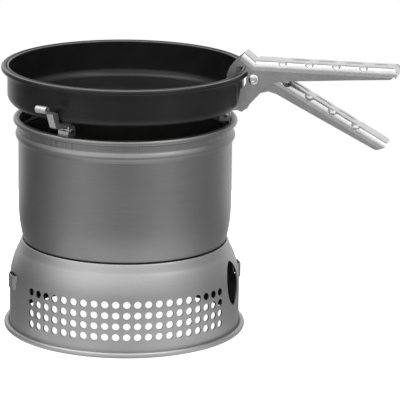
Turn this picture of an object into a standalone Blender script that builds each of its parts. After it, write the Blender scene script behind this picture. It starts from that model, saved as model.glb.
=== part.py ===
"""Storm cooker: a nesting camp stove standing ready for frying.

A spirit burner hangs in the lower windshield, the upper windshield stands in its top, three hinged supports
carry the frying pan, and a gripper handle holds the pan's rim. Units are metres, +Z is up, the handle points
along +X, and the origin is on the ground at the middle of the object's bounding box.
"""

import math

import bmesh
import bpy
from mathutils import Matrix, Vector

# Clearances
TOUCH = 0.0003
PIN_FIT = 0.00025
FLUSH = 0.00003

# Facets
TURN_STEPS = 48
BURNER_STEPS = 24
SMALL_STEPS = 12
HOLE_STEPS = 8

# Lower windshield
SHEET = 0.0010
BASE_R = 0.0880
BASE_TOP = 0.0688
WALL_TOP = 0.0340
SHOULDER_TURN = math.radians(52.5)
FOOT_ROLL_R = 0.0022
FOOT_FLAT = 0.0014
LIP_HALF = 0.0008
LIP_STAND = 0.0024
LIP_GAP = 0.0007
RECESS_DEPTH = 0.0036
SEAT_DROP = 0.0052
SEAT_SLOPE_IN = 0.0180
SEAT_LAND = 0.0090
SEAT_CLEARANCE = 0.0010

# Openings in the lower windshield
VENT_R = 0.0028
VENT_COLUMNS = 21
VENT_PITCH = math.radians(5.37)
VENT_ANGLE = math.radians(-75.3)
VENT_ROWS = 4
VENT_ROW_PITCH = 0.0083
VENT_TOP_ROW = 0.0400
WINDOW_ANGLE = math.radians(-5.8)
WINDOW_Z = 0.0406
WINDOW_HALF_W = 0.0125
WINDOW_HALF_H = 0.0170
WINDOW_POINT = 1.25
AIR_HOLE_R = 0.0045
AIR_HOLES = 12
AIR_HOLE_INSET = 0.0062

# Strap bridges pressed out of the lower windshield
BRIDGE_ANGLES = (math.radians(-151.0), math.radians(23.6))
BRIDGE_LOW = 0.0345
BRIDGE_HIGH = 0.0455
BRIDGE_HALF_W = 0.0085
BRIDGE_RAMP = 0.0026
BRIDGE_OUT = 0.0023
BRIDGE_ROOT = 0.0017
BRIDGE_SLOT_INSET = 0.0013
BRIDGE_LANCE = 0.00025

# Upper windshield
SHIELD_STEP_IN = 0.0070
SHIELD_H = 0.0985
TAPER_ARC_R = 0.1050
TAPER_TURN = math.radians(13.4)
SHIELD_CORNER_R = 0.0080
FLANGE_IN = 0.0044
SHIELD_TAPER_TOP = 0.0305
RIM_ROLL_R = 0.0024
NECK_STEP = 0.0006
NECK_H = 0.0048
BEAD_H = 0.0083
BEAD_OUT = 0.0019

# Pot supports and their brackets
SUPPORT_ANGLES = (math.radians(-111.5), math.radians(10.5), math.radians(128.5))
HINGE_RISE = 0.0030
EYE_R = 0.0023
HINGE_PIN_R = 0.0012
HINGE_PIN_HEAD_R = 0.0020
HINGE_PIN_HEAD_H = 0.0008
BRACKET_SHEET = 0.0011
BRACKET_HALF_W = 0.0046
BRACKET_DOWN = 0.0150
BRACKET_EAR_UP = 0.0036
BRACKET_EAR_DOWN = 0.0050
SUPPORT_HALF_W = 0.0028
SUPPORT_SHEET = 0.0010
SEAT_RISE = 0.0067
SEAT_IN = 0.0015
ARM_WEB = 0.0012
ARM_DEPTH = 0.0065
ARM_HEEL_OUT = 0.0040
ARM_HEEL_DROP = 0.0019
ARM_UNDER_DROP = 0.0034
ARM_ROOT_DROP = 0.0038
UPRIGHT_TUCK = 0.0009
UPRIGHT_LEAN = 0.0019
UPRIGHT_H = 0.0092
LIP_TAB_SHEET = 0.0017
LIP_TAB_HALF_W = 0.0046
CURL_R = 0.00275
CURL_BORE_R = 0.0013
CURL_OUT = 0.0088
CURL_UP = 0.0048

# Frying pan
PAN_STEP_OUT = 0.0082
PAN_SHEET = 0.0012
PAN_H = 0.0296
PAN_CORNER_R = 0.0080
PAN_ROLL_R = 0.0022
PAN_RIM_OUT = 0.0025
PAN_RIM_SWEEP = 0.0016
PAN_INNER_FIT = 0.00045

# Gripper handle
GRIP_HALF_W = 0.0115
GRIP_SHEET = 0.0012
GRIP_SIDE_GAP = 0.0003
GRIP_REACH = 0.1131
GRIP_TOP_RISE = 0.0103
GRIP_END_CUT = 0.0025
GRIP_END_SLANT = 0.0045
GRIP_END_DEPTH = 0.0080
GRIP_CLOSE = math.radians(12.0)
PIVOT_OUT = 0.0065
PIVOT_DROP = 0.0038
PIVOT_R = 0.0021
PIVOT_HEAD_R = 0.0039
PIVOT_HEAD_H = 0.0014
JAW_LEN = 0.0250
JAW_HANG = 0.0048
LOWER_REACH = 0.1005
LOWER_DROP = 0.0431
LOWER_END_DEPTH = 0.0062
JAW_FOOT_UP = 0.0038
JAW_FOOT_DEPTH = 0.0028
JAW_FOOT_OUT = 0.0034
JAW_CURL = 0.0010
NOTCH_DROP = 0.0065
NOTCH_OUT = 0.0016
INNER_JAW_TOP = 0.0048
INNER_JAW_FOOT = 0.0165

# Outlines of the levers as places from their pivot: outwards, and up
GRIP_NOTCH = ((-0.0073, -0.0057), (-0.0059, -0.0030), (-0.0057, 0.0009), (-0.0045, 0.0039), (0.0016, 0.0081))
GRIP_THROAT = ((0.0703, 0.0035), (0.0338, 0.0007), (0.0191, -0.0005), (0.0157, -0.0017), (0.0084, -0.0065))
LOWER_FOLD = ((-0.0207, 0.0030), (-0.0184, 0.0084), (-0.0150, 0.0130), (-0.0102, 0.0171), (-0.0080, 0.0194),
              (0.0007, 0.0126))
LOWER_BELLY = ((0.0342, -0.0191), (0.0171, -0.0103), (0.0082, -0.0079), (0.0030, -0.0068), (-0.0030, -0.0042),
               (-0.0050, -0.0010), (-0.0050, 0.0030), (-0.0044, 0.0072), (-0.0066, 0.0090), (-0.0145, 0.0090))

# Spirit burner
BURNER_R = 0.0330
BURNER_FLANGE_OUT = 0.0040
BURNER_FLANGE_H = 0.0020
BURNER_BELOW = 0.0270
BURNER_NECK_OUT = 0.0016
BURNER_NECK_H = 0.0140
BURNER_WALL = 0.0009
BURNER_CORNER_R = 0.0040
WELL_IN = 0.0090
JET_SHEET = 0.0008
JET_RISE = 0.0030
JET_SKIRT = 0.0060
JET_CROWN_R = 0.0030
JET_HOLES = 24
JET_HOLE_R = 0.0008

# Simmer ring
SIMMER_SHEET = 0.0010
SIMMER_FIT = 0.0005
SIMMER_HOLE_IN = 0.0040
SIMMER_SKIRT = 0.0090
SIMMER_EDGE_R = 0.0020
SIMMER_ANGLE = math.radians(8.5)
FLAP_SHEET = 0.0008
FLAP_LAP = 0.0025
FLAP_PIVOT_OUT = 0.0045
FLAP_EAR_R = 0.0045
FLAP_RIVET_R = 0.0014
FLAP_RIVET_HEAD_R = 0.0026
FLAP_RIVET_HEAD_H = 0.0010
SIMMER_LUG_OUT = 0.0045
SIMMER_LUG_R = 0.0024
SIMMER_LUG_SHEET = 0.0012
SIMMER_PIN_R = 0.0010
SIMMER_PIN_RISE = 0.0030
HANDLE_HALF_W = 0.0040
HANDLE_LEN = 0.0340
HANDLE_SHEET = 0.0010

# Heights and radii that follow from the values above
SHIELD_R = BASE_R - SHIELD_STEP_IN
LEDGE_Z = BASE_TOP - RECESS_DEPTH
LIP_Z = BASE_TOP - LIP_HALF
SHOULDER_END_Z = LIP_Z - LIP_STAND
SHIELD_Z = LEDGE_Z + TOUCH
SHIELD_TOP = SHIELD_Z + SHIELD_H
SEAT_Z = LEDGE_Z - SEAT_DROP
TAPER_TOP_Z = SHIELD_Z + SHIELD_TAPER_TOP
TAPER_END_R = SHIELD_R - TAPER_ARC_R * (1.0 - math.cos(TAPER_TURN))
CORNER_CENTRE_R = TAPER_END_R - SHIELD_CORNER_R * math.cos(TAPER_TURN)
CORNER_CENTRE_Z = SHIELD_Z + SHIELD_CORNER_R
LIP_R = CORNER_CENTRE_R + math.sqrt(
    (SHIELD_CORNER_R + LIP_HALF + LIP_GAP) ** 2 - (CORNER_CENTRE_Z - LIP_Z) ** 2)
SHOULDER_A = (BASE_R - LIP_R - LIP_HALF) / (1.0 - math.cos(SHOULDER_TURN))
SHOULDER_B = (SHOULDER_END_Z - WALL_TOP) / math.sin(SHOULDER_TURN)
NECK_R = SHIELD_R + NECK_STEP
RIM_R = NECK_R - SHEET + RIM_ROLL_R - NECK_STEP
RIM_Z = SHIELD_TOP - RIM_ROLL_R
BRACKET_R = math.sqrt((RIM_R - RIM_ROLL_R) ** 2 - BRACKET_HALF_W ** 2) - TOUCH
HINGE_R = BRACKET_R - BRACKET_SHEET - TOUCH - EYE_R
HINGE_Z = SHIELD_TOP + HINGE_RISE
PAN_R = SHIELD_R + PAN_STEP_OUT
PAN_Z = HINGE_Z + SEAT_RISE + TOUCH
PAN_TOP = PAN_Z + PAN_H
PAN_ROLL_CENTRE_R = PAN_R + PAN_RIM_OUT
PAN_ROLL_Z = PAN_TOP - PAN_ROLL_R
PAN_RIM_R = PAN_ROLL_CENTRE_R + PAN_ROLL_R
PIVOT_S = PAN_RIM_R + PIVOT_OUT
PIVOT_Z = PAN_TOP - PIVOT_DROP
GRIP_TOP = PAN_TOP + GRIP_TOP_RISE
LEVER_HALF_W = GRIP_HALF_W - GRIP_SHEET - GRIP_SIDE_GAP
WELL_R = BURNER_R - WELL_IN
SIMMER_HOLE_R = WELL_R - SIMMER_HOLE_IN
BURNER_Z = SEAT_Z + TOUCH
BURNER_FLOOR = BURNER_Z - BURNER_BELOW
BURNER_NECK_R = BURNER_R + BURNER_NECK_OUT
BURNER_TOP = BURNER_Z + BURNER_NECK_H
JET_R = BURNER_NECK_R - BURNER_WALL - TOUCH
JET_TOP = BURNER_TOP + JET_RISE
SEAT_HOLE_R = BURNER_R + SEAT_CLEARANCE
SIMMER_TOP = JET_TOP + TOUCH + SIMMER_SHEET
SIMMER_R = BURNER_NECK_R + SIMMER_FIT + SIMMER_SHEET
FLAP_PIVOT_R = SIMMER_R + FLAP_PIVOT_OUT
SIMMER_HINGE_R = SIMMER_R + SIMMER_LUG_OUT
SIMMER_HINGE_Z = SIMMER_TOP + SIMMER_PIN_RISE

# The bounding box is centred on the origin, so the axis of the round parts stands off it
FOOT_R = BASE_R + 2.0 * FOOT_ROLL_R
HANDLE_END = PIVOT_S + GRIP_REACH - PIVOT_OUT
ROUND_R = max(FOOT_R, PAN_RIM_R)
CURL_TIP_R = PAN_R - UPRIGHT_TUCK + UPRIGHT_LEAN + ARM_DEPTH + CURL_OUT + CURL_R
FRONT_REACH = -CURL_TIP_R * math.sin(SUPPORT_ANGLES[0]) + LIP_TAB_HALF_W * abs(math.cos(SUPPORT_ANGLES[0]))
REAR_REACH = max(PAN_RIM_R, CURL_TIP_R * math.sin(SUPPORT_ANGLES[2])
                 + LIP_TAB_HALF_W * abs(math.cos(SUPPORT_ANGLES[2])))
AXIS_X = (ROUND_R - HANDLE_END) / 2.0
AXIS_Y = (FRONT_REACH - REAR_REACH) / 2.0


# Scene, collections and materials

def clear_scene():
    """Removes every object that the file opened with."""
    for scene_object in list(bpy.data.objects):
        bpy.data.objects.remove(scene_object, do_unlink=True)


def new_collection(name):
    """Adds a collection to the scene."""
    collection = bpy.data.collections.new(name)
    bpy.context.scene.collection.children.link(collection)
    return collection


def metal(name, colour, roughness, metallic):
    """A Principled BSDF material of one plain colour."""
    material = bpy.data.materials.new(name)
    material.use_nodes = True
    shader = material.node_tree.nodes["Principled BSDF"]
    shader.inputs["Base Color"].default_value = (*colour, 1.0)
    shader.inputs["Roughness"].default_value = roughness
    shader.inputs["Metallic"].default_value = metallic
    material.diffuse_color = (*colour, 1.0)
    return material


# Frames that the pieces hang in

def empty(name, location=(0.0, 0.0, 0.0), turn=0.0, parent=None):
    """An empty at a place under its parent, turned about Z."""
    frame = bpy.data.objects.new(name, None)
    frame.location = location
    frame.rotation_euler = (0.0, 0.0, turn)
    frame.parent = parent
    PARTS.objects.link(frame)
    return frame


def station(name, angle, radius=0.0, height=0.0):
    """An empty round the axis, with its X pointing outwards."""
    place = (radius * math.cos(angle), radius * math.sin(angle), height)
    return empty(name, place, angle, AXIS)


# Points of outlines and profiles

def arc(centre, radius, start, end, steps):
    """Points on an arc from start to end, in degrees."""
    points = []
    for i in range(steps + 1):
        angle = math.radians(start + (end - start) * i / steps)
        points.append((centre[0] + radius * math.cos(angle), centre[1] + radius * math.sin(angle)))
    return points


def offset_path(path, distance):
    """The path moved to its right-hand side by a distance, with mitred corners."""
    normals = []
    for a, b in zip(path, path[1:]):
        length = math.hypot(b[0] - a[0], b[1] - a[1])
        normals.append(((b[1] - a[1]) / length, (a[0] - b[0]) / length))
    moved = []
    for i, point in enumerate(path):
        before = normals[max(i - 1, 0)]
        after = normals[min(i, len(normals) - 1)]
        scale = distance / (1.0 + before[0] * after[0] + before[1] * after[1])
        moved.append((point[0] + (before[0] + after[0]) * scale, point[1] + (before[1] + after[1]) * scale))
    return moved


def sheet_loop(path, thickness):
    """A closed loop round a sheet whose outer surface follows the path."""
    return path + offset_path(path, thickness)[::-1]


def rotated(point, centre, angle):
    """A point turned counter-clockwise about a centre."""
    x = point[0] - centre[0]
    y = point[1] - centre[1]
    return (centre[0] + x * math.cos(angle) - y * math.sin(angle),
            centre[1] + x * math.sin(angle) + y * math.cos(angle))


# Solids

def add_object(name, mesh, parent, material=None):
    """Links a mesh as a part, or as a cutter if it has no material."""
    solid = bpy.data.objects.new(name, mesh)
    solid.parent = parent
    if material is None:
        CUTTERS.objects.link(solid)
        solid.hide_render = True
        solid.display_type = "WIRE"
    else:
        PARTS.objects.link(solid)
        mesh.materials.append(material)
    return solid


def turned(name, profile, parent, material=None, closed=True, steps=TURN_STEPS):
    """A turned solid from a profile in the XZ plane, which runs clockwise."""
    mesh = bpy.data.meshes.new(name)
    edges = [(i, i + 1) for i in range(len(profile) - 1)]
    if closed:
        edges.append((len(profile) - 1, 0))
    mesh.from_pydata([(r, 0.0, z) for r, z in profile], edges, [])
    solid = add_object(name, mesh, parent, material)
    screw = solid.modifiers.new("Turn", "SCREW")
    screw.angle = math.tau
    screw.steps = steps
    screw.render_steps = steps
    screw.use_merge_vertices = True
    screw.merge_threshold = 0.00001
    screw.use_smooth_shade = True
    return solid


def plate(name, outline, low, high, parent, material=None, upright=True):
    """A flat solid from an outline: in XZ with its thickness along Y, or in XY with its thickness along Z."""
    curve = bpy.data.curves.new(name, "CURVE")
    curve.dimensions = "2D"
    curve.fill_mode = "BOTH"
    curve.extrude = (high - low) / 2.0
    spline = curve.splines.new("POLY")
    spline.points.add(len(outline) - 1)
    for point, (x, y) in zip(spline.points, outline):
        point.co = (x, y, 0.0, 1.0)
    spline.use_cyclic_u = True
    guide = bpy.data.objects.new(name + "_outline", curve)
    middle = (low + high) / 2.0
    if upright:
        guide.rotation_euler = (math.pi / 2.0, 0.0, 0.0)
        guide.location = (0.0, middle, 0.0)
    else:
        guide.location = (0.0, 0.0, middle)
    CUTTERS.objects.link(guide)
    bpy.context.view_layer.update()
    graph = bpy.context.evaluated_depsgraph_get()
    mesh = bpy.data.meshes.new_from_object(guide.evaluated_get(graph))
    mesh.name = name
    weld_mesh(mesh)
    solid = add_object(name, mesh, None, material)
    solid.matrix_world = guide.matrix_world.copy()
    solid.parent = parent
    bpy.data.objects.remove(guide, do_unlink=True)
    return solid


def weld_mesh(mesh):
    """Welds the caps of a converted curve and turns its faces out."""
    shape = bmesh.new()
    shape.from_mesh(mesh)
    bmesh.ops.remove_doubles(shape, verts=shape.verts, dist=0.00001)
    bmesh.ops.recalc_face_normals(shape, faces=shape.faces)
    shape.to_mesh(mesh)
    shape.free()


def rods(name, frames, radius, length, parent, material=None, steps=SMALL_STEPS):
    """Cylinders in one mesh, each along the Z of its frame and centred on it."""
    shape = bmesh.new()
    for frame in frames:
        bmesh.ops.create_cone(shape, cap_ends=True, segments=steps, radius1=radius, radius2=radius,
                              depth=length, matrix=frame)
    mesh = bpy.data.meshes.new(name)
    shape.to_mesh(mesh)
    shape.free()
    mesh.shade_smooth()
    mesh.set_sharp_from_angle(angle=math.radians(40.0))
    return add_object(name, mesh, parent, material)


def join_or_cut(solid, operation, tools):
    """Adds a Boolean modifier for each tool."""
    for tool in tools:
        boolean = solid.modifiers.new(tool.name, "BOOLEAN")
        boolean.operation = operation
        boolean.object = tool
        boolean.solver = "EXACT"


def radial_frame(angle, radius, height):
    """A frame whose Z points outwards from the axis."""
    direction = Vector((math.cos(angle), math.sin(angle), 0.0))
    return Matrix.Translation(direction * radius + Vector((0.0, 0.0, height))) @ direction.to_track_quat(
        "Z", "Y").to_matrix().to_4x4()


def cross_frame(x=0.0, y=0.0, z=0.0):
    """A frame whose Z points along the local Y."""
    return Matrix.Translation((x, y, z)) @ Matrix.Rotation(math.pi / 2.0, 4, "X")


def upright_frame(x=0.0, y=0.0, z=0.0):
    """A frame whose Z points up."""
    return Matrix.Translation((x, y, z))


# Lower windshield

def shoulder_point(turn):
    """A point on the shoulder, which is a stretch of an ellipse."""
    return (BASE_R - SHOULDER_A * (1.0 - math.cos(turn)), WALL_TOP + SHOULDER_B * math.sin(turn))


def base_profile():
    """The section of the lower windshield: seat, recess, lip, shoulder, wall and rolled foot."""
    steps = 5
    shoulder = [shoulder_point(SHOULDER_TURN * (steps - i) / steps) for i in range(steps + 1)]
    foot_centre = (BASE_R + FOOT_ROLL_R, FOOT_ROLL_R)
    foot = arc(foot_centre, FOOT_ROLL_R, 130.0, -90.0, 6)
    recess_r = LIP_R - LIP_HALF
    hidden_r = recess_r + SHEET
    inner = offset_path([(BASE_R, FOOT_ROLL_R * 2.0)] + shoulder[::-1], -SHEET)
    inner = [point for point in inner if point[0] > hidden_r + SHEET / 2.0]
    land_r = SEAT_HOLE_R + SEAT_LAND
    slope_r = land_r + SEAT_SLOPE_IN
    top_of_seat = [(SEAT_HOLE_R, SEAT_Z), (land_r, SEAT_Z), (slope_r, LEDGE_Z), (recess_r, LEDGE_Z)]
    under_seat = [(hidden_r, inner[-1][1]), (hidden_r, LEDGE_Z - SHEET), (slope_r, LEDGE_Z - SHEET),
                  (land_r, SEAT_Z - SHEET), (SEAT_HOLE_R, SEAT_Z - SHEET)]
    lip = arc((LIP_R, LIP_Z), LIP_HALF, 180.0, 0.0, 3)
    bottom = [(foot_centre[0] - FOOT_FLAT, 0.0), (BASE_R - SHEET, FOOT_ROLL_R)]
    return top_of_seat + lip + shoulder + foot + bottom + inner + under_seat


def vent_cutters():
    """The perforated panel: columns of round holes through the wall."""
    frames = []
    for column in range(VENT_COLUMNS):
        angle = VENT_ANGLE + (column - (VENT_COLUMNS - 1) / 2.0) * VENT_PITCH
        for row in range(VENT_ROWS):
            frames.append(radial_frame(angle, BASE_R, VENT_TOP_ROW - row * VENT_ROW_PITCH))
    return rods("vent_cutters", frames, VENT_R, SHEET * 10.0, AXIS, steps=HOLE_STEPS)


def window_cutter():
    """The oval window for the gas hose, with slightly pointed ends."""
    steps = 10
    outline = []
    for i in range(2 * steps):
        turn = math.pi * i / steps
        bulge = abs(math.cos(turn)) ** WINDOW_POINT
        outline.append((math.copysign(WINDOW_HALF_W * bulge, math.cos(turn)),
                        WINDOW_Z + WINDOW_HALF_H * math.sin(turn)))
    frame = station("window_station", WINDOW_ANGLE + math.pi / 2.0)
    reach = BASE_R + FOOT_ROLL_R
    return plate("window_cutter", outline, -reach, -LIP_R + LIP_HALF * 2.0, frame)


def bridge_tools(index, angle):
    """The slot of a strap bridge, and the bridge pressed out over it."""
    frame = station(f"bridge_station_{index}", angle)
    foot = math.sqrt(BASE_R ** 2 - BRIDGE_HALF_W ** 2) - BRIDGE_ROOT
    crown_half = BRIDGE_HALF_W - BRIDGE_RAMP
    crown = BASE_R + BRIDGE_OUT
    outer = [(foot, -BRIDGE_HALF_W), (crown - SHEET, -crown_half), (crown, -crown_half / 2.0)]
    outer += [(r, -t) for r, t in outer[::-1]]
    inner = [(foot, BRIDGE_HALF_W - BRIDGE_ROOT), (crown - SHEET * 2.0, crown_half - SHEET / 2.0)]
    inner += [(crown - SHEET, 0.0)] + [(r, -t) for r, t in inner[::-1]]
    bridge = plate(f"bridge_{index}", outer + inner, BRIDGE_LOW, BRIDGE_HIGH, frame, upright=False)
    slot_half = BRIDGE_HALF_W - BRIDGE_SLOT_INSET
    slot = [(LIP_R, -slot_half), (crown, -slot_half), (crown, slot_half), (LIP_R, slot_half)]
    cutter = plate(f"bridge_slot_{index}", slot, BRIDGE_LOW - BRIDGE_LANCE, BRIDGE_HIGH + BRIDGE_LANCE,
                   frame, upright=False)
    return bridge, cutter


def air_hole_cutters():
    """Holes round the burner seat that let air up to the flame."""
    radius = LIP_R - LIP_HALF - FLANGE_IN - SHIELD_CORNER_R - AIR_HOLE_R - AIR_HOLE_INSET
    frames = []
    for i in range(AIR_HOLES):
        angle = math.tau * i / AIR_HOLES
        frames.append(upright_frame(radius * math.cos(angle), radius * math.sin(angle), SEAT_Z))
    return rods("air_hole_cutters", frames, AIR_HOLE_R, (LEDGE_Z - SEAT_Z + SHEET) * 3.0, AXIS,
                steps=HOLE_STEPS)


def make_base():
    """The lower windshield, one spun and pressed sheet."""
    base = turned("base_shell", base_profile(), AXIS, ALUMINIUM)
    bridges = [bridge_tools(i + 1, angle) for i, angle in enumerate(BRIDGE_ANGLES)]
    join_or_cut(base, "DIFFERENCE", [cutter for bridge, cutter in bridges])
    join_or_cut(base, "UNION", [bridge for bridge, cutter in bridges])
    join_or_cut(base, "DIFFERENCE", [vent_cutters(), window_cutter(), air_hole_cutters()])


# Upper windshield

def shield_path():
    """The outer side of the upper windshield below its rolled rim, top to bottom."""
    bead_top = RIM_Z - RIM_ROLL_R / 2.0 - NECK_H
    steps = 4
    path = [(NECK_R, RIM_Z - RIM_ROLL_R / 2.0)]
    for i in range(steps + 1):
        share = i / steps
        line = NECK_R + (SHIELD_R - NECK_R) * share
        path.append((line + BEAD_OUT * math.sin(math.pi * share), bead_top - BEAD_H * share))
    taper_centre = (SHIELD_R - TAPER_ARC_R, TAPER_TOP_Z)
    turn = math.degrees(TAPER_TURN)
    path += arc(taper_centre, TAPER_ARC_R, 0.0, -turn, 3)
    path += arc((CORNER_CENTRE_R, CORNER_CENTRE_Z), SHIELD_CORNER_R, -turn, -90.0, 3)
    path.append((CORNER_CENTRE_R - FLANGE_IN, SHIELD_Z))
    return path


def make_shield():
    """The upper windshield, open at the top and at the bottom."""
    path = shield_path()
    inner = offset_path(path, SHEET)[::-1]
    roll = arc((RIM_R, RIM_Z), RIM_ROLL_R, 165.0, -105.0, 7)
    turned("windshield_shell", roll + path + inner, AXIS, ALUMINIUM)


# Pot supports

def bracket_tools(index, frame):
    """The two ears of a bracket."""
    ear_in = -EYE_R - TOUCH
    wall = BRACKET_R - BRACKET_SHEET / 2.0 - HINGE_R
    round_end = arc((ear_in / 2.0, 0.0), BRACKET_EAR_UP, 180.0, 90.0, 4)
    ear = [(ear_in / 2.0 - BRACKET_EAR_UP, -BRACKET_EAR_DOWN)] + round_end
    ear += [(wall, BRACKET_EAR_UP), (wall, -BRACKET_EAR_DOWN)]
    inside = BRACKET_HALF_W - BRACKET_SHEET
    return [plate(f"bracket_ear_{index}_a", ear, inside, BRACKET_HALF_W - FLUSH, frame),
            plate(f"bracket_ear_{index}_b", ear, -BRACKET_HALF_W + FLUSH, -inside, frame)]


def make_bracket(index, frame):
    """A bracket that stands up inside the rim, with an ear at each side for the hinge pin."""
    outer = BRACKET_R - HINGE_R
    inner = outer - BRACKET_SHEET
    bottom = SHIELD_TOP - BRACKET_DOWN - HINGE_Z
    outline = [(inner, bottom), (inner, 0.0), (outer, 0.0), (outer, bottom)]
    bracket = plate(f"support_bracket_{index}", outline, -BRACKET_HALF_W, BRACKET_HALF_W, frame, BRIGHT)
    join_or_cut(bracket, "UNION", bracket_tools(index, frame))
    hole = rods(f"bracket_hole_{index}", [cross_frame()], HINGE_PIN_R + PIN_FIT, BRACKET_HALF_W * 4.0, frame)
    join_or_cut(bracket, "DIFFERENCE", [hole])


def arm_outlines():
    """The side of a support's channel, and the hollow between its cheeks, from the hinge."""
    seat = SEAT_RISE
    inner_foot = (PAN_R - UPRIGHT_TUCK - HINGE_R, seat)
    inner_top = (inner_foot[0] + UPRIGHT_LEAN, seat + UPRIGHT_H)
    outer_top = (inner_top[0] + ARM_DEPTH, inner_top[1])
    outer_foot = (inner_foot[0] + ARM_HEEL_OUT, seat - ARM_HEEL_DROP)
    under = (inner_foot[0] + ARM_WEB, seat - ARM_UNDER_DROP)
    plate_top = BRACKET_R - HINGE_R
    under_inner = (plate_top, seat - ARM_ROOT_DROP)
    eye = arc((0.0, 0.0), EYE_R, 30.0, -190.0, 10)
    side = [(-SEAT_IN, seat), inner_foot, inner_top, outer_top, outer_foot, under, under_inner] + eye
    web_in = offset_path([outer_top, outer_foot, under, under_inner], ARM_WEB)
    above = inner_top[1] + ARM_DEPTH
    hollow = [(web_in[0][0] + UPRIGHT_LEAN, above), web_in[0], web_in[1], web_in[2]]
    hollow += [(plate_top + ARM_WEB, web_in[3][1]), (plate_top + ARM_WEB, above)]
    return side, hollow, outer_top


def support_tools(index, frame):
    """The lip with its curl, and the cutters of a support."""
    side, hollow, outer_top = arm_outlines()
    curl = (outer_top[0] + CURL_OUT, outer_top[1] + CURL_UP)
    tab = sheet_loop([(outer_top[0] - ARM_WEB, outer_top[1] - FLUSH), (curl[0], curl[1] - CURL_BORE_R / 2.0)],
                     LIP_TAB_SHEET)
    lip = plate(f"lip_{index}", tab, -LIP_TAB_HALF_W + TOUCH, LIP_TAB_HALF_W - TOUCH, frame)
    roll = rods(f"curl_{index}", [cross_frame(curl[0], 0.0, curl[1])], CURL_R, LIP_TAB_HALF_W * 2.0, frame)
    bore = rods(f"curl_bore_{index}", [cross_frame(curl[0], 0.0, curl[1])], CURL_BORE_R,
                LIP_TAB_HALF_W * 3.0, frame, steps=HOLE_STEPS)
    eye_bore = rods(f"eye_bore_{index}", [cross_frame()], HINGE_PIN_R + PIN_FIT, SUPPORT_HALF_W * 4.0, frame)
    half = SUPPORT_HALF_W - SUPPORT_SHEET
    channel = plate(f"channel_{index}", hollow, -half, half, frame)
    return [lip, roll], [channel, bore, eye_bore]


def make_support(index, frame):
    """A hinged arm: a channel under and beside the pan, with a curled lip."""
    side = arm_outlines()[0]
    support = plate(f"pan_support_{index}", side, -SUPPORT_HALF_W, SUPPORT_HALF_W, frame, BRIGHT)
    joined, cut = support_tools(index, frame)
    join_or_cut(support, "DIFFERENCE", cut[:1])
    join_or_cut(support, "UNION", joined)
    join_or_cut(support, "DIFFERENCE", cut[1:])


def headed_pin(name, frame, radius, head_r, head_h, half_span, material, parent):
    """A pin along the Z of its frame, with a low head at each end."""
    pin = rods(name, [frame], radius, half_span * 2.0 + head_h, parent, material)
    ends = [frame @ upright_frame(z=side * (half_span + head_h / 2.0)) for side in (-1.0, 1.0)]
    heads = rods(name + "_heads", ends, head_r, head_h, parent)
    join_or_cut(pin, "UNION", [heads])
    return pin


def make_supports():
    """Three brackets, three supports and their hinge pins."""
    for i, angle in enumerate(SUPPORT_ANGLES):
        frame = station(f"support_hinge_{i + 1}", angle, HINGE_R, HINGE_Z)
        make_bracket(i + 1, frame)
        make_support(i + 1, frame)
        headed_pin(f"support_hinge_pin_{i + 1}", cross_frame(), HINGE_PIN_R, HINGE_PIN_HEAD_R,
                   HINGE_PIN_HEAD_H, BRACKET_HALF_W + TOUCH, STEEL, frame)


# Frying pan

def make_pan():
    """The frying pan, with an upright wall and a rim rolled outwards."""
    floor = PAN_Z + PAN_SHEET
    inner_r = PAN_R - PAN_SHEET
    inner_corner = PAN_CORNER_R - PAN_SHEET
    profile = [(0.0, floor)]
    profile += arc((inner_r - inner_corner, floor + inner_corner), inner_corner, -90.0, 0.0, 3)
    sweep_centre = (inner_r + PAN_RIM_SWEEP, PAN_TOP - PAN_RIM_SWEEP)
    profile += arc(sweep_centre, PAN_RIM_SWEEP, 180.0, 105.0, 3)
    profile += arc((PAN_ROLL_CENTRE_R, PAN_ROLL_Z), PAN_ROLL_R, 85.0, -150.0, 6)
    profile.append((PAN_R, PAN_ROLL_Z - PAN_ROLL_R))
    profile += arc((PAN_R - PAN_CORNER_R, PAN_Z + PAN_CORNER_R), PAN_CORNER_R, 0.0, -90.0, 4)
    profile.append((0.0, PAN_Z))
    turned("frying_pan", profile, AXIS, NONSTICK, closed=False)


# Gripper handle

def from_pivot(points):
    """Points given from the pivot, as places along the handle and up."""
    return [(PIVOT_S + s, PIVOT_Z + z) for s, z in points]


def upper_lever_outline():
    """The side of the upper lever: its grip, the notch round the pan's rim, and the jaw on the outer wall."""
    seat_half_w = GRIP_HALF_W - GRIP_SHEET
    wall = math.sqrt(PAN_R ** 2 - seat_half_w ** 2) + TOUCH
    foot_z = PAN_Z + JAW_FOOT_UP
    low = foot_z - JAW_FOOT_DEPTH
    jaw = [(wall + JAW_CURL, low), (wall, foot_z - JAW_CURL), (wall, foot_z)]
    notch = [(wall + NOTCH_OUT, PAN_ROLL_Z - PAN_ROLL_R - NOTCH_DROP)] + from_pivot(GRIP_NOTCH)
    grip = [(PIVOT_S + GRIP_NOTCH[-1][0], GRIP_TOP), (HANDLE_END - GRIP_END_CUT, GRIP_TOP),
            (HANDLE_END, GRIP_TOP - GRIP_END_CUT), (HANDLE_END, GRIP_TOP - GRIP_END_DEPTH + GRIP_END_CUT),
            (HANDLE_END - GRIP_END_SLANT, GRIP_TOP - GRIP_END_DEPTH)]
    return jaw + notch + grip + from_pivot(GRIP_THROAT) + [(wall + JAW_FOOT_OUT, low)]


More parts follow.
